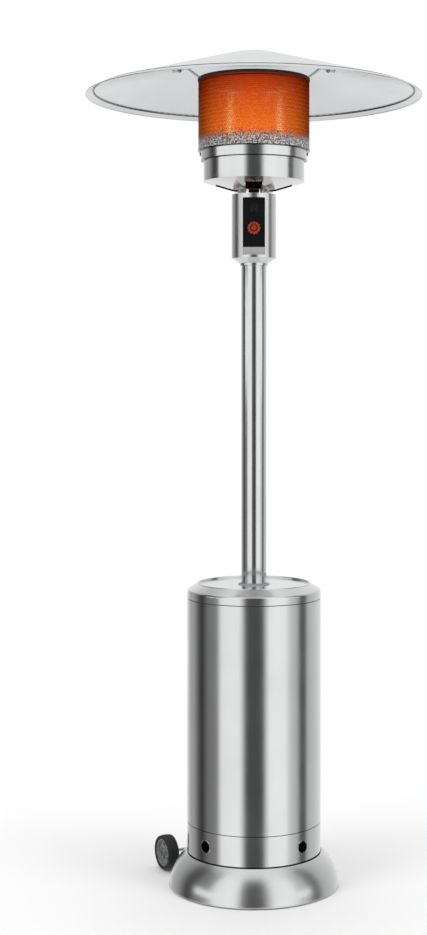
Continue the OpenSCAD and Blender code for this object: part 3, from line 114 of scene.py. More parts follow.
class HeaterLooks(bpy.types.PropertyGroup):
    """Colours of the finishes."""

    steel: bpy.props.FloatVectorProperty(
        name="Polished steel", description="Housing, post, neck and burner",
        default=(0.81, 0.815, 0.82), subtype="COLOR", min=0, max=1)
    dish: bpy.props.FloatVectorProperty(
        name="Dish", description="Spun sheet of the reflector",
        default=(0.80, 0.81, 0.82), subtype="COLOR", min=0, max=1)
    satin: bpy.props.FloatVectorProperty(
        name="Satin steel", description="Tab below the window and burner support",
        default=(0.90, 0.90, 0.91), subtype="COLOR", min=0, max=1)
    zinc: bpy.props.FloatVectorProperty(
        name="Plated steel", description="Brackets and fasteners",
        default=(0.46, 0.47, 0.48), subtype="COLOR", min=0, max=1)
    frame_coat: bpy.props.FloatVectorProperty(
        name="Frame coat", description="Powder coat of the inner frame",
        default=(0.035, 0.037, 0.04), subtype="COLOR", min=0, max=1)
    brass: bpy.props.FloatVectorProperty(
        name="Brass", description="Valve and gas inlet", default=(0.60, 0.41, 0.15),
        subtype="COLOR", min=0, max=1)
    copper: bpy.props.FloatVectorProperty(
        name="Copper", description="Gas and pilot lines", default=(0.55, 0.24, 0.11),
        subtype="COLOR", min=0, max=1)
    knob: bpy.props.FloatVectorProperty(
        name="Knob", description="Moulded control knob", default=(0.34, 0.031, 0.008),
        subtype="COLOR", min=0, max=1)
    rubber: bpy.props.FloatVectorProperty(
        name="Rubber", description="Feet, grommet and tyres", default=(0.016, 0.016, 0.017),
        subtype="COLOR", min=0, max=1)
    hub: bpy.props.FloatVectorProperty(
        name="Hub", description="Moulded wheel hubs", default=(0.27, 0.275, 0.28),
        subtype="COLOR", min=0, max=1)
    panel: bpy.props.FloatVectorProperty(
        name="Panel", description="Glossy control panel", default=(0.006, 0.006, 0.007),
        subtype="COLOR", min=0, max=1)
    iron: bpy.props.FloatVectorProperty(
        name="Burner iron", description="Mixing tube and burner head", default=(0.028, 0.027, 0.026),
        subtype="COLOR", min=0, max=1)
    seal: bpy.props.FloatVectorProperty(
        name="Seal", description="Grommet round the post", default=(0.42, 0.42, 0.43),
        subtype="COLOR", min=0, max=1)
    glow_low: bpy.props.FloatVectorProperty(
        name="Glow low", description="Hottest colour of the screen", default=(0.84, 0.135, 0.005),
        subtype="COLOR", min=0, max=1)
    glow_middle: bpy.props.FloatVectorProperty(
        name="Glow middle", description="Colour half-way up the screen", default=(0.68, 0.082, 0.004),
        subtype="COLOR", min=0, max=1)
    glow_high: bpy.props.FloatVectorProperty(
        name="Glow high", description="Coolest colour of the screen", default=(0.38, 0.024, 0.002),
        subtype="COLOR", min=0, max=1)
    # Colour of the painted highlight streaks on the emitter screen
    streak_highlight: bpy.props.FloatVectorProperty(
        name="Flame", description="Pale flames that lick the screen", default=(0.98, 0.46, 0.19),
        subtype="COLOR", min=0, max=1)
    screen: bpy.props.FloatVectorProperty(
        name="Screen steel", description="Unlit steel of the screen", default=(0.78, 0.77, 0.78),
        subtype="COLOR", min=0, max=1)
    scale: bpy.props.FloatVectorProperty(
        name="Scale", description="Heat-stained steel of the screen", default=(0.30, 0.14, 0.06),
        subtype="COLOR", min=0, max=1)
    insulator: bpy.props.FloatVectorProperty(
        name="Insulator", description="Glazed insulator of the electrode", default=(0.80, 0.77, 0.70),
        subtype="COLOR", min=0, max=1)
    floor: bpy.props.FloatVectorProperty(
        name="Floor", description="Plain studio floor", default=(0.90, 0.90, 0.90),
        subtype="COLOR", min=0, max=1)


class HeaterStage(bpy.types.PropertyGroup):
    """Camera of the main view."""

    distance: bpy.props.FloatProperty(
        name="Distance", description="Camera to post axis", default=4.35, unit="LENGTH")
    height: bpy.props.FloatProperty(
        name="Height", description="Camera above the floor", default=1.340, unit="LENGTH")
    lens: bpy.props.FloatProperty(
        name="Lens", description="Focal length", default=63.51, unit="CAMERA")
    shift_x: bpy.props.FloatProperty(
        name="Shift X", description="Sideways lens shift", default=-0.0432)
    shift_y: bpy.props.FloatProperty(
        name="Shift Y", description="Upright lens shift", default=-0.0989)


# Nodes of the shaders

# Places of the sockets of a colour mix
MIX_FACTOR, MIX_FIRST, MIX_SECOND, MIX_RESULT = 0, 6, 7, 2

WHITE = (1.0, 1.0, 1.0, 1.0)
BLACK = (0.0, 0.0, 0.0, 1.0)

# Part of a noise's range that is used, and the detail of each noise
NOISE_SPAN = (0.3, 0.7)
SMUDGE_DETAIL = 6.0
LINE_DETAIL = 3.0
PATCH_DETAIL = 5.0
GRAIN_DETAIL = 2.0
SPECKLE_DETAIL = 1.0

# Cells of the turned lines for each radian: few, so that the lines are long
LINE_STRETCH = 3.0


def rgba(colour, level=1.0):
    """A colour at a level, as a node takes it."""
    return (*(part * level for part in colour), 1.0)


def grey(level):
    return rgba((level, level, level))


def feed(tree, value, socket):
    """Links a socket to an input, or sets a number or a colour there."""
    if isinstance(value, bpy.types.NodeSocket):
        tree.links.new(value, socket)
    else:
        socket.default_value = value


def math_node(tree, operation, *values):
    """A math node whose inputs are sockets or numbers; returns its result."""
    node = tree.nodes.new("ShaderNodeMath")
    node.operation = operation
    for value, socket in zip(values, node.inputs):
        feed(tree, value, socket)
    return node.outputs[0]


def noise_node(tree, vector, scale, detail):
    """A noise texture on a vector socket; returns its value."""
    node = tree.nodes.new("ShaderNodeTexNoise")
    node.inputs["Detail"].default_value = detail
    feed(tree, scale, node.inputs["Scale"])
    feed(tree, vector, node.inputs["Vector"])
    return node.outputs[0]


def map_range(tree, value, low, high, new_low=0.0, new_high=1.0, smooth=False):
    """Stretches a value from one range to another and keeps it there; returns its result."""
    node = tree.nodes.new("ShaderNodeMapRange")
    if smooth:
        node.interpolation_type = "SMOOTHSTEP"
    feed(tree, value, node.inputs["Value"])
    feed(tree, low, node.inputs["From Min"])
    feed(tree, high, node.inputs["From Max"])
    feed(tree, new_low, node.inputs["To Min"])
    feed(tree, new_high, node.inputs["To Max"])
    return node.outputs["Result"]


def mix_colours(tree, factor, first, second):
    """A colour between two others, which are sockets or values; returns its result."""
    node = tree.nodes.new("ShaderNodeMix")
    node.data_type = "RGBA"
    feed(tree, factor, node.inputs[MIX_FACTOR])
    feed(tree, first, node.inputs[MIX_FIRST])
    feed(tree, second, node.inputs[MIX_SECOND])
    return node.outputs[MIX_RESULT]


def object_place(tree):
    return tree.nodes.new("ShaderNodeTexCoord").outputs["Object"]


def front_turn(tree, x, y):
    """Angle round the post axis, from the front."""
    return math_node(tree, "ARCTAN2", x, math_node(tree, "MULTIPLY", y, -1.0))


def axis_place(tree):
    """Distance from the post axis, height and turn of a point on the object."""
    apart = tree.nodes.new("ShaderNodeSeparateXYZ")
    tree.links.new(object_place(tree), apart.inputs[0])
    x, y, z = apart.outputs
    squares = math_node(
        tree, "ADD", math_node(tree, "MULTIPLY", x, x), math_node(tree, "MULTIPLY", y, y))
    return math_node(tree, "SQRT", squares), z, front_turn(tree, x, y)


def within(tree, value, middle, half):
    """One where a value lies within half of the middle, else nought."""
    return math_node(tree, "COMPARE", value, middle, half)


def set_stops(ramp, stops):
    """Sets the stops of a colour ramp."""
    while len(ramp.elements) > 1:
        ramp.elements.remove(ramp.elements[-1])
    for number, (place, colour) in enumerate(stops):
        stop = ramp.elements[0] if number == 0 else ramp.elements.new(place)
        stop.position = place
        stop.color = colour


# Node groups shared by the finishes


def new_group(name, inputs, outputs):
    """An empty shader node group with its sockets and its two end nodes."""
    group = bpy.data.node_groups.new(name, "ShaderNodeTree")
    for label, kind, value in inputs:
        socket = group.interface.new_socket(name=label, in_out="INPUT", socket_type=kind)
        socket.default_value = value
    for label, kind in outputs:
        group.interface.new_socket(name=label, in_out="OUTPUT", socket_type=kind)
    start = group.nodes.new("NodeGroupInput")
    end = group.nodes.new("NodeGroupOutput")
    return group, start, end


def smudge_group():
    """Roughness that wanders slowly, as on wiped metal or plastic."""
    group, start, end = new_group(
        "smudge",
        [
            ("Scale", "NodeSocketFloat", 12.0),
            ("Low", "NodeSocketFloat", 0.2),
            ("High", "NodeSocketFloat", 0.3),
        ],
        [("Roughness", "NodeSocketFloat")],
    )
    cloud = noise_node(group, object_place(group), start.outputs["Scale"], SMUDGE_DETAIL)
    rough = map_range(group, cloud, *NOISE_SPAN, start.outputs["Low"], start.outputs["High"])
    group.links.new(rough, end.inputs["Roughness"])
    return group


def turned_lines_group():
    """Fine lines that run round the post axis, as a turned or brushed sheet has."""
    group, start, end = new_group(
        "turned_lines",
        [("Lines per metre", "NodeSocketFloat", 900.0)],
        [("Height", "NodeSocketFloat")],
    )
    across, z, turn = axis_place(group)
    lines = group.nodes.new("ShaderNodeCombineXYZ")
    group.links.new(math_node(group, "MULTIPLY", turn, LINE_STRETCH), lines.inputs[0])
    group.links.new(math_node(group, "MULTIPLY", across, start.outputs[0]), lines.inputs[1])
    group.links.new(math_node(group, "MULTIPLY", z, start.outputs[0]), lines.inputs[2])
    group.links.new(noise_node(group, lines.outputs[0], 1.0, LINE_DETAIL), end.inputs["Height"])
    return group


def mottle_group():
    """Two colours that mix in soft patches, with fine grain as a height."""
    group, start, end = new_group(
        "mottle",
        [
            ("First", "NodeSocketColor", grey(0.5)),
            ("Second", "NodeSocketColor", grey(0.4)),
            ("Scale", "NodeSocketFloat", 40.0),
            ("Grain", "NodeSocketFloat", 900.0),
        ],
        [("Color", "NodeSocketColor"), ("Height", "NodeSocketFloat")],
    )
    place = object_place(group)
    patches = noise_node(group, place, start.outputs["Scale"], PATCH_DETAIL)
    mixed = mix_colours(
        group, map_range(group, patches, *NOISE_SPAN), start.outputs["First"], start.outputs["Second"])
    group.links.new(mixed, end.inputs["Color"])
    group.links.new(noise_node(group, place, start.outputs["Grain"], GRAIN_DETAIL), end.inputs["Height"])
    return group


def group_node(material, group, **values):
    """Places a group in a material with its own values."""
    node = material.node_tree.nodes.new("ShaderNodeGroup")
    node.node_tree = group
    for label, value in values.items():
        node.inputs[label.replace("_", " ")].default_value = value
    return node


# Finishes

GROUPS = {}
FINISH = {}

# Sheet finishes: colour, least and greatest roughness, turned lines per metre and their strength
SHEETS = {
    "polished_steel": ("steel", 0.14, 0.20, 700.0, 0.10),
    "housing_steel": ("steel", 0.14, 0.20, 700.0, 0.10),
    "burner_steel": ("steel", 0.14, 0.20, 700.0, 0.10),
    "satin_steel": ("satin", 0.46, 0.56, 300.0, 0.15),
    "brushed_steel": ("steel", 0.20, 0.27, 700.0, 0.10),
    "reflector_aluminium": ("dish", 0.20, 0.26, 450.0, 0.12),
}

# All sheet finishes: level of the second colour, scales of its patches and of the smudges,
# level of the painted shade at seams, gaps and the dish's bead, and depth of the lines
SHEET_SECOND = 0.93
SHEET_PATCH = 6.0
SHEET_SMUDGE = 9.0
SHADE_LEVEL = 0.08
LINE_DEPTH = 0.2 * MM

# Grained finishes: colour, metallic, least and greatest roughness, scale and strength of the grain,
# level of the second colour, scale of the patches, weight of the clear coat
GRAINED = {
    "seal": ("seal", 0.0, 0.50, 0.65, 1200.0, 0.20, 0.80, 40.0, 0.0),
    "dark_steel": ("frame_coat", 0.0, 0.40, 0.52, 1600.0, 0.35, 0.80, 40.0, 0.0),
    "zinc_steel": ("zinc", 1.0, 0.24, 0.40, 700.0, 0.10, 0.80, 70.0, 0.0),
    "brass": ("brass", 1.0, 0.24, 0.36, 500.0, 0.08, 0.85, 40.0, 0.0),
    "copper": ("copper", 1.0, 0.26, 0.40, 500.0, 0.08, 0.70, 40.0, 0.0),
    "rubber": ("rubber", 0.0, 0.60, 0.75, 1200.0, 0.30, 0.80, 40.0, 0.0),
    "tyre": ("rubber", 0.0, 0.58, 0.78, 900.0, 0.35, 1.30, 40.0, 0.0),
    "hub_plastic": ("hub", 0.0, 0.38, 0.50, 1500.0, 0.18, 0.92, 40.0, 0.0),
    "panel_black": ("panel", 0.0, 0.08, 0.16, 300.0, 0.02, 0.80, 40.0, 0.6),
    "control_black": ("panel", 0.0, 0.22, 0.34, 1400.0, 0.12, 1.30, 40.0, 0.0),
    "knob_red": ("knob", 0.0, 0.24, 0.34, 1400.0, 0.10, 0.88, 40.0, 0.3),
    "burner_dark": ("iron", 0.7, 0.45, 0.65, 800.0, 0.45, 1.60, 40.0, 0.0),
    "insulator": ("insulator", 0.0, 0.12, 0.20, 600.0, 0.03, 0.94, 40.0, 0.0),
}

# Depth of the grain
GRAIN_DEPTH = 0.3 * MM

# Place of the painted shade line beside the dish's bead, in halves of its width outside the fold
BEAD_SHIFT = 0.9

# Emitter screen: shares of its height where the glow changes, level of the glow at the top, and
# shares where the foot starts to be lit and is fully lit, with how far the speckle moves them
GLOW_PLACES = (0.0, 0.28, 0.62, 0.94, 1.0)
GLOW_TOP = 0.5
FOOT_START = 0.125
FOOT_END = 0.19
FOOT_WANDER = 70 * MM

# Speckle of the screen: scale, part of the noise that is used, levels of the steel, and strength
SPECKLE_SCALE = 290.0
SPECKLE_SPAN = (0.42, 0.62)
SPECKLE_LEVELS = (0.15, 1.0)
SPECKLE_STRENGTH = 0.10

# Painted highlight streaks on the screen: turn of the first one, how narrow they are, shares of the
# height at tip and foot, and levels
STREAK_TURN = math.radians(27)
STREAK_POWER = 8.0
STREAK_TIP = 0.80
STREAK_FOOT = 0.35
STREAK_LEVELS = (0.15, 0.85)

# Shader of the screen: glow and gloss inside; loss of glow at a glance, loss of stain towards the
# top, metallic of the foot and the rest, and gloss outside
INSIDE_GLOW = 1.15
INSIDE_ROUGHNESS = 0.9
INSIDE_SPECULAR = 0.1
GLANCE_BLEND = 0.5
GLANCE_POWER = 1.2
STAIN_FADE = 0.85
SCREEN_METALLIC = (0.3, 1.0)
SCREEN_SMUDGE = {"Scale": 60.0, "Low": 0.34, "High": 0.42}


def new_finish(name, metallic, **sockets):
    """A material with its shader's plain values set; returns the material and the shader."""
    material = bpy.data.materials.new(name)
    material.use_nodes = True
    shader = material.node_tree.nodes["Principled BSDF"]
    shader.inputs["Metallic"].default_value = metallic
    for label, value in sockets.items():
        shader.inputs[label.replace("_", " ")].default_value = value
    return material, shader


def add_bump(material, shader, height, strength, depth):
    """Feeds a height to the shader's normal."""
    bump = material.node_tree.nodes.new("ShaderNodeBump")
    bump.inputs["Strength"].default_value = strength
    bump.inputs["Distance"].default_value = depth
    material.node_tree.links.new(height, bump.inputs["Height"])
    material.node_tree.links.new(bump.outputs["Normal"], shader.inputs["Normal"])


def sheet_metal(name, colour, low, high, lines, strength, shade_bands):
    """Polished or spun sheet: turned lines, wandering gloss, and dark lines of painted shade at seams, gaps
    and the dish's bead.
    """
    material, shader = new_finish(name, 1.0)
    tree = material.node_tree
    second = rgba(colour, SHEET_SECOND)
    tone = group_node(material, GROUPS["mottle"], First=rgba(colour), Second=second, Scale=SHEET_PATCH)
    seen = tone.outputs["Color"]
    # Painted shade: the base colour goes dark in bands at seams, above the skirt and beside the dish's bead
    if shade_bands:
        across, height, _ = axis_place(tree)
        shade_mask = 0.0
        for upright, middle, half in shade_bands:
            line = within(tree, height if upright else across, middle, half)
            shade_mask = math_node(tree, "MAXIMUM", line, shade_mask)
        seen = mix_colours(tree, shade_mask, seen, rgba(colour, SHADE_LEVEL))
    tree.links.new(seen, shader.inputs["Base Color"])
    gloss = group_node(material, GROUPS["smudge"], Scale=SHEET_SMUDGE, Low=low, High=high)
    tree.links.new(gloss.outputs["Roughness"], shader.inputs["Roughness"])
    turned = group_node(material, GROUPS["turned_lines"], Lines_per_metre=lines)
    add_bump(material, shader, turned.outputs["Height"], strength, LINE_DEPTH)
    return material


def grained(name, colour, metallic, low, high, grain, strength, second, patch, coat):
    """Cast, moulded, plated or coated surface: patches of colour, fine grain and wandering gloss."""
    material, shader = new_finish(name, metallic, Coat_Weight=coat)
    links = material.node_tree.links
    tone = group_node(
        material, GROUPS["mottle"], First=rgba(colour), Second=rgba(colour, second),
        Scale=patch, Grain=grain)
    links.new(tone.outputs["Color"], shader.inputs["Base Color"])
    gloss = group_node(material, GROUPS["smudge"], Scale=patch, Low=low, High=high)
    links.new(gloss.outputs["Roughness"], shader.inputs["Roughness"])
    add_bump(material, shader, tone.outputs["Height"], strength, GRAIN_DEPTH)
    return material


def screen_glow(tree, looks, inside):
    """Colour of the hot sheet with painted highlight streaks, how far it is lit above its ragged foot, its
    speckle, and its height.
    """
    _, height, turn = axis_place(tree)
    _, low, high = span("emitter_screen")
    speckle = noise_node(tree, object_place(tree), SPECKLE_SCALE, SPECKLE_DETAIL)
    share = map_range(tree, height, low, high)
    glow = tree.nodes.new("ShaderNodeValToRGB")
    colours = (
        rgba(looks.glow_low), rgba(looks.glow_low), rgba(looks.glow_middle), rgba(looks.glow_high),
        rgba(looks.glow_high, GLOW_TOP))
    set_stops(glow.color_ramp, zip(GLOW_PLACES, colours))
    tree.links.new(share, glow.inputs["Fac"])
    # Painted highlight: pale streaks rising from the screen's foot at fixed turns round the axis
    turned = math_node(tree, "SUBTRACT", turn, STREAK_TURN)
    streak_mask = math_node(tree, "COSINE", math_node(tree, "MULTIPLY", turned, sizes().highlight_streaks))
    streak_mask = math_node(tree, "POWER", math_node(tree, "MAXIMUM", streak_mask, 0.0), STREAK_POWER)
    streak_mask = math_node(tree, "MULTIPLY", streak_mask, map_range(tree, share, STREAK_TIP, STREAK_FOOT))
    streak_mask = math_node(tree, "MULTIPLY", streak_mask, map_range(tree, speckle, *NOISE_SPAN, *STREAK_LEVELS))
    streak_highlight = mix_colours(tree, streak_mask, glow.outputs["Color"], rgba(looks.streak_highlight))
    wander = math_node(tree, "MULTIPLY", math_node(tree, "SUBTRACT", speckle, 0.5), FOOT_WANDER)
    start = low if inside else low + FOOT_START * (high - low)
    lit = map_range(tree, math_node(tree, "ADD", height, wander), start, low + FOOT_END * (high - low))
    return streak_highlight, lit, speckle, share


def screen_finish(name, looks, inside):
    """Hot perforated steel: unlit at its foot, brightest low down, dark red at its top and at a glance."""
    material, shader = new_finish(name, 0.0)
    tree = material.node_tree
    glow, lit, speckle, share = screen_glow(tree, looks, inside)
    tree.links.new(glow, shader.inputs["Emission Color"])
    if inside:
        shader.inputs["Base Color"].default_value = rgba(looks.iron)
        shader.inputs["Roughness"].default_value = INSIDE_ROUGHNESS
        shader.inputs["Specular IOR Level"].default_value = INSIDE_SPECULAR
        tree.links.new(math_node(tree, "MULTIPLY", lit, INSIDE_GLOW), shader.inputs["Emission Strength"])
        return material
    glance = tree.nodes.new("ShaderNodeLayerWeight")
    glance.inputs["Blend"].default_value = GLANCE_BLEND
    square = math_node(tree, "SUBTRACT", 1.0, glance.outputs["Facing"])
    square = math_node(tree, "POWER", square, GLANCE_POWER)
    tree.links.new(math_node(tree, "MULTIPLY", lit, square), shader.inputs["Emission Strength"])
    stain = mix_colours(tree, lit, rgba(looks.screen), rgba(looks.scale))
    fade = math_node(tree, "SUBTRACT", 1.0, math_node(tree, "MULTIPLY", share, STAIN_FADE))
    grains = math_node(tree, "MULTIPLY", map_range(tree, speckle, *SPECKLE_SPAN, *SPECKLE_LEVELS), fade)
    tree.links.new(mix_colours(tree, grains, BLACK, stain), shader.inputs["Base Color"])
    tree.links.new(stain, shader.inputs["Specular Tint"])
    tree.links.new(map_range(tree, lit, *NOISE_SPAN, *SCREEN_METALLIC), shader.inputs["Metallic"])
    gloss = group_node(material, GROUPS["smudge"], **SCREEN_SMUDGE)
    tree.links.new(gloss.outputs["Roughness"], shader.inputs["Roughness"])
    add_bump(material, shader, speckle, SPECKLE_STRENGTH, GRAIN_DEPTH)
    return material


def painted_shade_lines():
    """Lines of painted shade on sheet finishes: true if by height, false if by distance from the axis;
    middle; half.
    """
    given = sizes()
    half = given.seam / 2
    _, barrel_low, barrel_high = span("housing_barrel")
    _, ring_low, ring_high = span("burner_ring")
    skirt_top = span("base_skirt")[2]
    fold = span("reflector")[0] - given.rim
    return {
        # Painted shade at the barrel's two seams and in the gap above the skirt
        "housing_steel": [
            (True, barrel_low + half, half),
            (True, barrel_high - half, half),
            (True, skirt_top - given.skirt_gap / 2, given.skirt_gap),
        ],
        # Painted shade at the burner ring's top and bottom seams
        "burner_steel": [(True, ring_low, half), (True, ring_high - half, half)],
        # Painted shade in the crease beside the dish's bead
        "reflector_aluminium": [(False, fold + BEAD_SHIFT * given.bead, given.bead)],
    }


def make_finishes(looks):
    """Builds the node groups and a finish for every material slot of the record, with a few variants."""
    GROUPS.update(smudge=smudge_group(), turned_lines=turned_lines_group(), mottle=mottle_group())
    lines = painted_shade_lines()
    for name, (colour, *values) in SHEETS.items():
        FINISH[name] = sheet_metal(name, getattr(looks, colour), *values, lines.get(name, ()))
    for name, (colour, *values) in GRAINED.items():
        FINISH[name] = grained(name, getattr(looks, colour), *values)
    for name, inside in (("emitter_glow", False), ("emitter_inside", True)):
        FINISH[name] = screen_finish(name, looks, inside)
    for node, holder in frame["nodes"].items():
        holder.data.materials.clear()
        holder.data.materials.append(FINISH[SLOT_OF[node]])


# Shapes

# Distances below which points are one, and angles that tell flat, round and sharp apart
SOLID_WELD = 0.002 * MM
SPUN_WELD = 0.001 * MM
SCREEN_WELD = 0.05 * MM
FLAT_ANGLE = math.radians(0.4)
SHARP_ANGLE = math.radians(32)
BEVEL_ANGLE = math.radians(40)
KNOB_SHARP_ANGLE = math.radians(40)
SPUN_SHARP_ANGLE = math.radians(50)

# Slope past which a face counts as one of the inside
INWARD = 0.2

# Segments of rounded edges and corners
EDGE_SEGMENTS = 2
CORNER_SEGMENTS = 3
KNOB_SEGMENTS = 4

# Edges of heavy pieces, in widths of the plain broken edge
HEAVY = 1.5

# Sheet of the post and the hems, and how far the screen lies inside the hems
POST_WALL = 1.5 * MM
HEM_WALL = 1.6 * MM
SCREEN_INSET = 0.3 * MM

# Knob: steps round, and shares of its length or radius
KNOB_STEPS = 128
KNOB_FLANGE = 0.25
KNOB_FLUTE_DEPTH = 0.20
KNOB_DISH = 0.55
KNOB_ROUND_FROM = 0.60
KNOB_GROOVE_TO = 0.56
KNOB_BOSS = 0.70
KNOB_POINTER_LENGTH = 0.62
KNOB_POINTER_MIDDLE = 0.42

# Knob: rounding of the grip's edge, depth of the groove in pointer heights, and tolerances
KNOB_ROUND = 1.2 * MM
KNOB_GROOVE = 1.5
KNOB_LEVEL = 0.01 * MM
KNOB_FLANGE_REACH = 1.01
KNOB_GROOVE_REACH = 0.1


def sizes():
    return bpy.context.scene.heater_sizes


def place_piece(name, bm, node, materials=None, replaced=None):
    """Makes an object of a finished bmesh, on the body and finish of its node."""
    mesh = bpy.data.meshes.new(name)
    bm.to_mesh(mesh)
    bm.free()
    piece = bpy.data.objects.new(name, mesh)
    bpy.context.scene.collection.objects.link(piece)
    for finish in materials or [SLOT_OF[node]]:
        mesh.materials.append(FINISH[finish])
    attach(piece, BODY_OF[node])
    if replaced:
        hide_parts(*replaced)
    return piece


def soften(bm, limit):
    """Smooth faces, with the edges that turn more than limit kept sharp."""
    for face in bm.faces:
        face.smooth = True
    for edge in bm.edges:
        edge.smooth = len(edge.link_faces) == 2 and edge.calc_face_angle(math.pi) < limit


def faces_in(face):
    """True for a face that looks up or towards the post axis."""
    outward = face.calc_center_median().xy
    return face.normal.z > INWARD or face.normal.xy.dot(outward) < -INWARD * outward.length


def dress(node, edge, finish=None, lining=None):
    """A node's own solid with its facets joined, its round walls smooth and its edges broken."""
    bm = bmesh.new()
    bm.from_mesh(frame["nodes"][node].data)
    bmesh.ops.remove_doubles(bm, verts=bm.verts[:], dist=SOLID_WELD)
    bmesh.ops.dissolve_limit(
        bm, angle_limit=FLAT_ANGLE, verts=bm.verts[:], edges=bm.edges[:], use_dissolve_boundaries=False)
    soften(bm, SHARP_ANGLE)
    finishes = [finish or SLOT_OF[node]]
    if lining:
        finishes.append(lining)
        for face in bm.faces:
            face.material_index = int(faces_in(face))
    piece = place_piece(node + "_piece", bm, node, finishes, [node])
    if edge > 0:
        bevel = piece.modifiers.new("broken_edges", "BEVEL")
        bevel.width = edge
        bevel.segments = EDGE_SEGMENTS
        bevel.limit_method = "ANGLE"
        bevel.angle_limit = BEVEL_ANGLE
        bevel.harden_normals = True
        bevel.use_clamp_overlap = True
    return piece


def spin_section(bm, points, roll):
    """A closed section in the radius and height plane, with rounded corners, turned round the post axis."""
    corners = [bm.verts.new((r, 0.0, z)) for r, z in points]
    for first, second in zip(corners, corners[1:] + corners[:1]):
        bm.edges.new((first, second))
    made = bmesh.ops.bevel(
        bm, geom=corners[:], offset=roll, offset_type="OFFSET", segments=CORNER_SEGMENTS, profile=0.5,
        affect="VERTICES", material=-1, clamp_overlap=True)
    verts = list({v for v in corners if v.is_valid} | set(made["verts"]))
    edges = list({e for v in verts for e in v.link_edges})
    bmesh.ops.spin(
        bm, geom=verts + edges, cent=(0, 0, 0), axis=(0, 0, 1), angle=FULL_TURN,
        steps=sizes().steps, use_merge=True)


def finish_spun(bm):
    """Closes the seam of spun sections, turns their faces outwards and smooths them."""
    bmesh.ops.remove_doubles(bm, verts=bm.verts[:], dist=SPUN_WELD)
    bmesh.ops.recalc_face_normals(bm, faces=bm.faces[:])
    soften(bm, SPUN_SHARP_ANGLE)


def wall(radius, low, high, thick):
    """Section of a plain tube."""
    return [(radius - thick, low), (radius, low), (radius, high), (radius - thick, high)]


class HEATER_OT_finishes(bpy.types.Operator):
    """Node groups and finishes of all pieces"""

    bl_idname = "heater.finishes"
    bl_label = "Finishes"

    def execute(self, context):
        make_finishes(context.scene.heater_looks)
        return {"FINISHED"}


class HEATER_OT_base(bpy.types.Operator):
    """Base plate, skirt and feet"""

    bl_idname = "heater.base"
    bl_label = "Base"

    def execute(self, context):
        for node in ("base_plate", "foot_pads"):
            dress(node, sizes().edge)
        dress("base_skirt", 0.0, "brushed_steel")
        return {"FINISHED"}


class HEATER_OT_wheels(bpy.types.Operator):
    """Wheel bracket, axle and wheels"""

    bl_idname = "heater.wheels"
    bl_label = "Wheels"

    def execute(self, context):
        for node in ("wheel_bracket", "wheel_axle", "axle_caps", "wheel_hub_left", "wheel_hub_right",
                     "wheel_tyre_left", "wheel_tyre_right"):
            dress(node, HEAVY * sizes().edge)
        return {"FINISHED"}


class HEATER_OT_inner_frame(bpy.types.Operator):
    """Legs and post socket round the gas bottle"""

    bl_idname = "heater.inner_frame"
    bl_label = "Inner frame"

    def execute(self, context):
        for node in ("support_leg_1", "support_leg_2", "support_leg_3", "post_socket"):
            dress(node, HEAVY * sizes().edge)
        return {"FINISHED"}


class HEATER_OT_gas_line(bpy.types.Operator):
    """Gas inlet, pipe and valve"""

    bl_idname = "heater.gas_line"
    bl_label = "Gas line"

    def execute(self, context):
        for node in ("gas_inlet", "gas_inlet_nut", "gas_pipe", "gas_valve", "valve_plunger", "valve_stem"):
            dress(node, sizes().edge)
        return {"FINISHED"}


class HEATER_OT_housing(bpy.types.Operator):
    """Bottle housing: vented ring, barrel, cap and grommet"""

    bl_idname = "heater.housing"
    bl_label = "Bottle housing"

    def execute(self, context):
        for node in ("vent_ring", "housing_barrel", "housing_cap"):
            dress(node, sizes().edge, "housing_steel")
        dress("post_grommet", sizes().edge, "seal")
        return {"FINISHED"}


class HEATER_OT_post(bpy.types.Operator):
    """Post"""

    bl_idname = "heater.post"
    bl_label = "Post"

    def execute(self, context):
        radius, low, high = span("post")
        bm = bmesh.new()
        spin_section(bm, wall(radius, low, high, POST_WALL), sizes().roll)
        finish_spun(bm)
        place_piece("post_tube", bm, "post", replaced=["post"])
        return {"FINISHED"}


class HEATER_OT_neck(bpy.types.Operator):
    """Control neck, its base, panel and tab"""

    bl_idname = "heater.neck"
    bl_label = "Control neck"

    def execute(self, context):
        for node in ("neck_base", "control_panel", "tilt_switch"):
            dress(node, sizes().edge)
        dress("neck_shell", sizes().edge, "brushed_steel")
        dress("panel_tab", sizes().edge, "satin_steel")
        return {"FINISHED"}


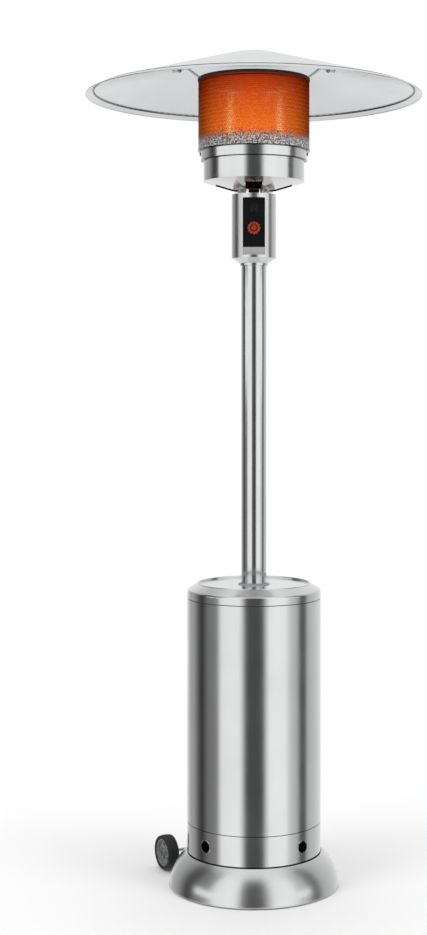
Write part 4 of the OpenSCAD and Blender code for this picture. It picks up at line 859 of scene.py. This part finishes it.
class HEATER_OT_controls(bpy.types.Operator):
    """Knob and igniter"""

    bl_idname = "heater.controls"
    bl_label = "Controls"

    def execute(self, context):
        for node in ("igniter_body", "igniter_nut", "igniter_button"):
            dress(node, sizes().edge)
        self.knob()
        return {"FINISHED"}

    def knob(self):
        """Round flange and fluted grip with a groove and a raised pointer, turned to the front; black
        flange and groove faces are painted shade.
        """
        low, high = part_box("control_knob")
        radius = (high.x - low.x) / 2
        pointer = sizes().pointer
        length = high.y - low.y - pointer
        flange = KNOB_FLANGE * length
        bm = bmesh.new()
        bmesh.ops.create_circle(bm, cap_ends=True, segments=KNOB_STEPS, radius=radius)
        rim = self.raised(bm, bm.faces[:], flange, True)
        bmesh.ops.inset_region(bm, faces=rim, thickness=pointer, use_even_offset=True)
        for vert in rim[0].verts:
            wave = 0.5 - 0.5 * math.cos(sizes().flutes * math.atan2(vert.co.x, vert.co.y))
            vert.co.xy *= 1 - KNOB_FLUTE_DEPTH * wave ** 2
        face = self.raised(bm, rim, length - flange)
        dish = self.raised(bm, face, 0.0)
        for vert in dish[0].verts:
            vert.co.xy = vert.co.xy.normalized() * KNOB_DISH * radius
        outline = {
            vert for vert in bm.verts
            if abs(vert.co.z - length) < KNOB_LEVEL and vert.co.xy.length > KNOB_ROUND_FROM * radius}
        edges = [edge for edge in bm.edges if edge.calc_length() > 0 and outline.issuperset(edge.verts)]
        bmesh.ops.bevel(
            bm, geom=edges, offset=KNOB_ROUND, offset_type="OFFSET", segments=KNOB_SEGMENTS, profile=0.5,
            affect="EDGES", material=-1, clamp_overlap=True)
        floor = self.raised(bm, dish, -KNOB_GROOVE * pointer)
        boss = self.raised(bm, floor, 0.0)
        for vert in boss[0].verts:
            vert.co.xy *= KNOB_BOSS
        self.raised(bm, boss, KNOB_GROOVE * pointer)
        # Painted shade: flange and groove faces take the black finish so that the flute gaps and the groove
        # look dark
        for face in bm.faces:
            middle = face.calc_center_median()
            sunk = middle.z < length - KNOB_GROOVE_REACH * pointer
            shaded_groove = sunk and middle.xy.length < KNOB_GROOVE_TO * radius
            face.material_index = int(shaded_groove or middle.z < KNOB_FLANGE_REACH * flange)
        bar = bmesh.ops.create_cube(bm, size=1.0)["verts"]
        bmesh.ops.scale(bm, vec=(2 * pointer, KNOB_POINTER_LENGTH * radius, 2 * pointer), verts=bar)
        bmesh.ops.translate(bm, vec=(0, KNOB_POINTER_MIDDLE * radius, length), verts=bar)
        place = Matrix.Translation((0, high.y, (low.z + high.z) / 2))
        bmesh.ops.transform(bm, matrix=place @ Matrix.Rotation(math.pi / 2, 4, "X"), verts=bm.verts[:])
        bmesh.ops.recalc_face_normals(bm, faces=bm.faces[:])
        soften(bm, KNOB_SHARP_ANGLE)
        place_piece("knob", bm, "control_knob", ["knob_red", "control_black"], ["control_knob"])

    def raised(self, bm, faces, height, keep=False):
        """Extrudes flat faces upwards, with the first ones kept or not, and returns the new ones."""
        made = bmesh.ops.extrude_face_region(bm, geom=faces, use_keep_orig=keep)["geom"]
        if not keep:
            bmesh.ops.delete(bm, geom=[face for face in faces if face.is_valid], context="FACES_ONLY")
        verts = [part for part in made if isinstance(part, bmesh.types.BMVert)]
        bmesh.ops.translate(bm, vec=(0, 0, height), verts=verts)
        return [part for part in made if isinstance(part, bmesh.types.BMFace)]


class HEATER_OT_burner(bpy.types.Operator):
    """Burner pan, ring, support, mixing tube, head and pilot parts"""

    bl_idname = "heater.burner"
    bl_label = "Burner"

    def execute(self, context):
        for node in ("venturi_tube", "burner_head", "pilot_bracket", "pilot_tube", "thermocouple",
                     "spark_electrode"):
            dress(node, sizes().edge)
        dress("burner_support", sizes().edge, "satin_steel")
        for node in ("burner_pan", "burner_ring"):
            dress(node, sizes().edge, "burner_steel", "burner_dark")
        return {"FINISHED"}


class HEATER_OT_emitter(bpy.types.Operator):
    """Perforated emitter screen, its hems and its lid"""

    bl_idname = "heater.emitter"
    bl_label = "Emitter"

    def execute(self, context):
        self.screen()
        self.hems()
        dress("emitter_lid", sizes().edge)
        return {"FINISHED"}

    def screen(self):
        """Six-sided cells with a hole each, laid in offset rows and turned round the axis."""
        given = sizes()
        radius, low, high = span("emitter_screen")
        radius -= SCREEN_INSET
        pitch = FULL_TURN / given.hole_count
        cell = 2 * radius * math.tan(pitch / 2) / math.sqrt(3)
        row = 1.5 * cell
        bottom = low + given.hem - cell
        rows = int((high - given.hem + cell - bottom) / row)
        upright = Matrix(((0, 0, 1, radius), (1, 0, 0, 0), (0, 1, 0, 0), (0, 0, 0, 1)))
        bm = bmesh.new()
        for number in range(rows):
            turn = Matrix.Rotation(pitch / 2 * (number % 2), 4, "Z")
            place = Matrix.Translation((0, 0, bottom + row * number)) @ turn @ upright
            outer = bmesh.ops.create_circle(bm, segments=6, radius=cell, matrix=place)["verts"]
            hole = cell * given.hole_share
            inner = bmesh.ops.create_circle(bm, segments=6, radius=hole, matrix=place)["verts"]
            loops = {edge for v in outer + inner for edge in v.link_edges}
            bmesh.ops.bridge_loops(bm, edges=list(loops))
        bmesh.ops.spin(
            bm, geom=bm.verts[:] + bm.edges[:] + bm.faces[:], cent=(0, 0, 0), axis=(0, 0, 1),
            angle=FULL_TURN, steps=given.hole_count, use_duplicate=True)
        for vert in bm.verts:
            vert.co.xy = vert.co.xy.normalized() * radius
        bmesh.ops.remove_doubles(bm, verts=bm.verts[:], dist=SCREEN_WELD)
        bmesh.ops.recalc_face_normals(bm, faces=bm.faces[:])
        inward = [face for face in bm.faces if face.normal.xy.dot(face.calc_center_median().xy) < 0]
        bmesh.ops.reverse_faces(bm, faces=inward)
        for face in bm.faces:
            face.smooth = True
        piece = place_piece(
            "emitter_mesh", bm, "emitter_screen", ["emitter_glow", "emitter_inside", "burner_dark"],
            ["emitter_screen"])
        thick = piece.modifiers.new("sheet", "SOLIDIFY")
        thick.thickness = given.screen_wall
        thick.offset = -1.0
        thick.material_offset = 1
        thick.material_offset_rim = 2

    def hems(self):
        """Plain hems at the screen's foot and head."""
        given = sizes()
        radius, low, high = span("emitter_screen")
        bm = bmesh.new()
        for start in (low, high - given.hem):
            spin_section(bm, wall(radius, start, start + given.hem, HEM_WALL), given.roll)
        finish_spun(bm)
        for face in bm.faces:
            face.material_index = int(faces_in(face))
        place_piece("emitter_hems", bm, "emitter_screen", ["emitter_glow", "emitter_inside"])


class HEATER_OT_reflector(bpy.types.Operator):
    """Reflector dish and its bracket"""

    bl_idname = "heater.reflector"
    bl_label = "Reflector"

    def execute(self, context):
        dress("reflector", sizes().edge)
        dress("reflector_bracket", sizes().edge)
        return {"FINISHED"}


class HEATER_OT_fasteners(bpy.types.Operator):
    """Screws, bolts and nuts"""

    bl_idname = "heater.fasteners"
    bl_label = "Fasteners"

    def execute(self, context):
        for node in ("foot_screws", "bracket_bolts", "leg_bolts", "post_screws", "valve_screws",
                     "support_bolts", "emitter_screws", "lid_bolts", "reflector_bolts"):
            dress(node, sizes().edge)
        return {"FINISHED"}


# Stage

FLOOR_RADIUS = 400.0
FLOOR_STEPS = 96
FLOOR_ROUGHNESS = 0.9

# Distances from the axis between which the floor's shadow fades to white
SHADOW_FADE = (0.3, 1.3)

# Grey of the room by angle from the front, in degrees
PANELS = (
    (-180, 0.88), (-160, 0.82), (-144, 0.46), (-124, 0.36), (-112, 0.14), (-104, 0.04),
    (-96, 0.05), (-88, 0.17), (-66, 0.24), (-58, 0.92), (-24, 1.0), (-13, 0.07), (15, 0.07),
    (25, 1.0), (56, 1.0), (64, 0.66), (80, 0.48), (87, 0.10), (98, 0.10), (105, 0.50),
    (134, 0.66), (158, 0.82), (180, 0.88),
)

# White boxes in the room: middle and half width in degrees, and middle and half of their band of rise
BOXES = ((-73, 15), (72, 12))
BOX_BAND = (0.15, 0.10)

# Rise at which the panels give way to the grey above and below, and the grey that lights matt pieces
SKY_RISE = (0.66, 0.97)
SKY_LEVEL = 0.85
GROUND_FALL = (-0.38, -0.60)
GROUND_LEVEL = 0.78
ROOM_LEVEL = 0.62

# Lamps: place, size and power; all of them aim at one point
LAMPS = {
    "softbox_left": ((-2.6, -2.4, 3.2), 1.8, 60.0),
    "softbox_right": ((2.8, -2.0, 2.8), 1.8, 50.0),
    "softbox_top": ((0.0, 0.6, 5.0), 2.5, 80.0),
}
LAMP_AIM = (0.0, 0.0, 1.1)

SENSOR_WIDTH = 36.0


class HEATER_OT_stage(bpy.types.Operator):
    """Floor, studio surroundings, lamps and camera"""

    bl_idname = "heater.stage"
    bl_label = "Stage"

    def execute(self, context):
        scene = context.scene
        scene.view_settings.view_transform = "Standard"
        self.floor(scene)
        self.surroundings(scene)
        self.lamps(scene)
        self.camera(scene)
        return {"FINISHED"}

    def floor(self, scene):
        bm = bmesh.new()
        bmesh.ops.create_circle(bm, cap_ends=True, segments=FLOOR_STEPS, radius=FLOOR_RADIUS)
        mesh = bpy.data.meshes.new("studio_floor")
        bm.to_mesh(mesh)
        bm.free()
        floor = bpy.data.objects.new("studio_floor", mesh)
        scene.collection.objects.link(floor)
        mesh.materials.append(self.floor_finish(scene.heater_looks.floor))

    def floor_finish(self, colour):
        """Matt floor that keeps the shadow near the object, is white further out and clear in metal."""
        material, shader = new_finish(
            "studio_floor", 0.0, Roughness=FLOOR_ROUGHNESS, Base_Color=rgba(colour))
        tree = material.node_tree
        reach = tree.nodes.new("ShaderNodeVectorMath")
        reach.operation = "LENGTH"
        tree.links.new(object_place(tree), reach.inputs[0])
        far = map_range(tree, reach.outputs["Value"], *SHADOW_FADE, smooth=True)
        path = tree.nodes.new("ShaderNodeLightPath").outputs
        white = tree.nodes.new("ShaderNodeEmission")
        white.inputs["Color"].default_value = WHITE
        clear = tree.nodes.new("ShaderNodeBsdfTransparent")
        bounced = math_node(tree, "MAXIMUM", path["Is Glossy Ray"], path["Is Transmission Ray"])
        seen = shader.outputs[0]
        for share, other in (
            (math_node(tree, "MULTIPLY", far, path["Is Camera Ray"]), white),
            (bounced, clear),
        ):
            mixed = tree.nodes.new("ShaderNodeMixShader")
            for value, socket in zip((share, seen, other.outputs[0]), mixed.inputs):
                tree.links.new(value, socket)
            seen = mixed.outputs[0]
        tree.links.new(seen, tree.nodes["Material Output"].inputs["Surface"])
        return material

    def surroundings(self, scene):
        """Pale room with tall bright and dark panels round the object, seen in its metal."""
        world = bpy.data.worlds.new("studio")
        scene.world = world
        world.use_nodes = True
        tree = world.node_tree
        tree.nodes.clear()
        apart = tree.nodes.new("ShaderNodeSeparateXYZ")
        tree.links.new(tree.nodes.new("ShaderNodeTexCoord").outputs["Generated"], apart.inputs[0])
        x, y, z = apart.outputs
        turn = front_turn(tree, x, y)
        panels = tree.nodes.new("ShaderNodeValToRGB")
        set_stops(panels.color_ramp, [((angle + 180) / 360, grey(level)) for angle, level in PANELS])
        share = math_node(tree, "ADD", math_node(tree, "DIVIDE", turn, FULL_TURN), 0.5)
        tree.links.new(share, panels.inputs["Fac"])
        boxes = 0.0
        for middle, half in BOXES:
            box = within(tree, turn, math.radians(middle), math.radians(half))
            boxes = math_node(tree, "MAXIMUM", box, boxes)
        boxes = math_node(tree, "MULTIPLY", boxes, within(tree, z, *BOX_BAND))
        path = tree.nodes.new("ShaderNodeLightPath").outputs
        direct = math_node(tree, "MAXIMUM", path["Is Camera Ray"], path["Is Transmission Ray"])
        room = mix_colours(tree, boxes, panels.outputs["Color"], WHITE)
        room = mix_colours(tree, map_range(tree, z, *SKY_RISE, smooth=True), room, grey(SKY_LEVEL))
        room = mix_colours(tree, map_range(tree, z, *GROUND_FALL, smooth=True), room, grey(GROUND_LEVEL))
        room = mix_colours(tree, path["Is Glossy Ray"], grey(ROOM_LEVEL), room)
        background = tree.nodes.new("ShaderNodeBackground")
        tree.links.new(mix_colours(tree, direct, room, WHITE), background.inputs["Color"])
        output = tree.nodes.new("ShaderNodeOutputWorld")
        tree.links.new(background.outputs[0], output.inputs["Surface"])

    def lamps(self, scene):
        for name, (place, size, power) in LAMPS.items():
            lamp = bpy.data.lights.new(name, "AREA")
            lamp.size = size
            lamp.energy = power
            holder = bpy.data.objects.new(name, lamp)
            holder.location = place
            aim = Vector(LAMP_AIM) - holder.location
            holder.rotation_euler = aim.to_track_quat("-Z", "Y").to_euler()
            holder.visible_glossy = False
            scene.collection.objects.link(holder)

    def camera(self, scene):
        given = scene.heater_stage
        data = bpy.data.cameras.new("front_camera")
        data.lens = given.lens
        data.sensor_width = SENSOR_WIDTH
        data.shift_x = given.shift_x
        data.shift_y = given.shift_y
        camera = bpy.data.objects.new("front_camera", data)
        camera.location = (0.0, -given.distance, given.height)
        camera.rotation_euler = (math.pi / 2, 0.0, 0.0)
        scene.collection.objects.link(camera)
        scene.camera = camera


OPERATORS = (
    HEATER_OT_finishes,
    HEATER_OT_base,
    HEATER_OT_wheels,
    HEATER_OT_inner_frame,
    HEATER_OT_gas_line,
    HEATER_OT_housing,
    HEATER_OT_post,
    HEATER_OT_neck,
    HEATER_OT_controls,
    HEATER_OT_burner,
    HEATER_OT_emitter,
    HEATER_OT_reflector,
    HEATER_OT_fasteners,
    HEATER_OT_stage,
)


class HEATER_PT_panel(bpy.types.Panel):
    """Lists the heater's pieces, sizes and colours"""

    bl_label = "Patio heater"
    bl_idname = "HEATER_PT_panel"
    bl_space_type = "VIEW_3D"
    bl_region_type = "UI"
    bl_category = "Heater"

    def draw(self, context):
        for group in ("heater_sizes", "heater_looks", "heater_stage"):
            holder = getattr(context.scene, group)
            box = self.layout.box()
            for label in holder.__annotations__:
                box.prop(holder, label)
        for operator in OPERATORS:
            self.layout.operator(operator.bl_idname)


GROUPS_OF_VALUES = (
    ("heater_sizes", HeaterSizes),
    ("heater_looks", HeaterLooks),
    ("heater_stage", HeaterStage),
)


def register():
    for label, kind in GROUPS_OF_VALUES:
        bpy.utils.register_class(kind)
        setattr(bpy.types.Scene, label, bpy.props.PointerProperty(type=kind))
    for kind in (*OPERATORS, HEATER_PT_panel):
        bpy.utils.register_class(kind)


def unregister():
    for kind in (HEATER_PT_panel, *reversed(OPERATORS)):
        bpy.utils.unregister_class(kind)
    for label, kind in reversed(GROUPS_OF_VALUES):
        delattr(bpy.types.Scene, label)
        bpy.utils.unregister_class(kind)


def main():
    register()
    for operator in OPERATORS:
        family, name = operator.bl_idname.split(".")
        getattr(getattr(bpy.ops, family), name)()


if __name__ == "__main__":
    main()
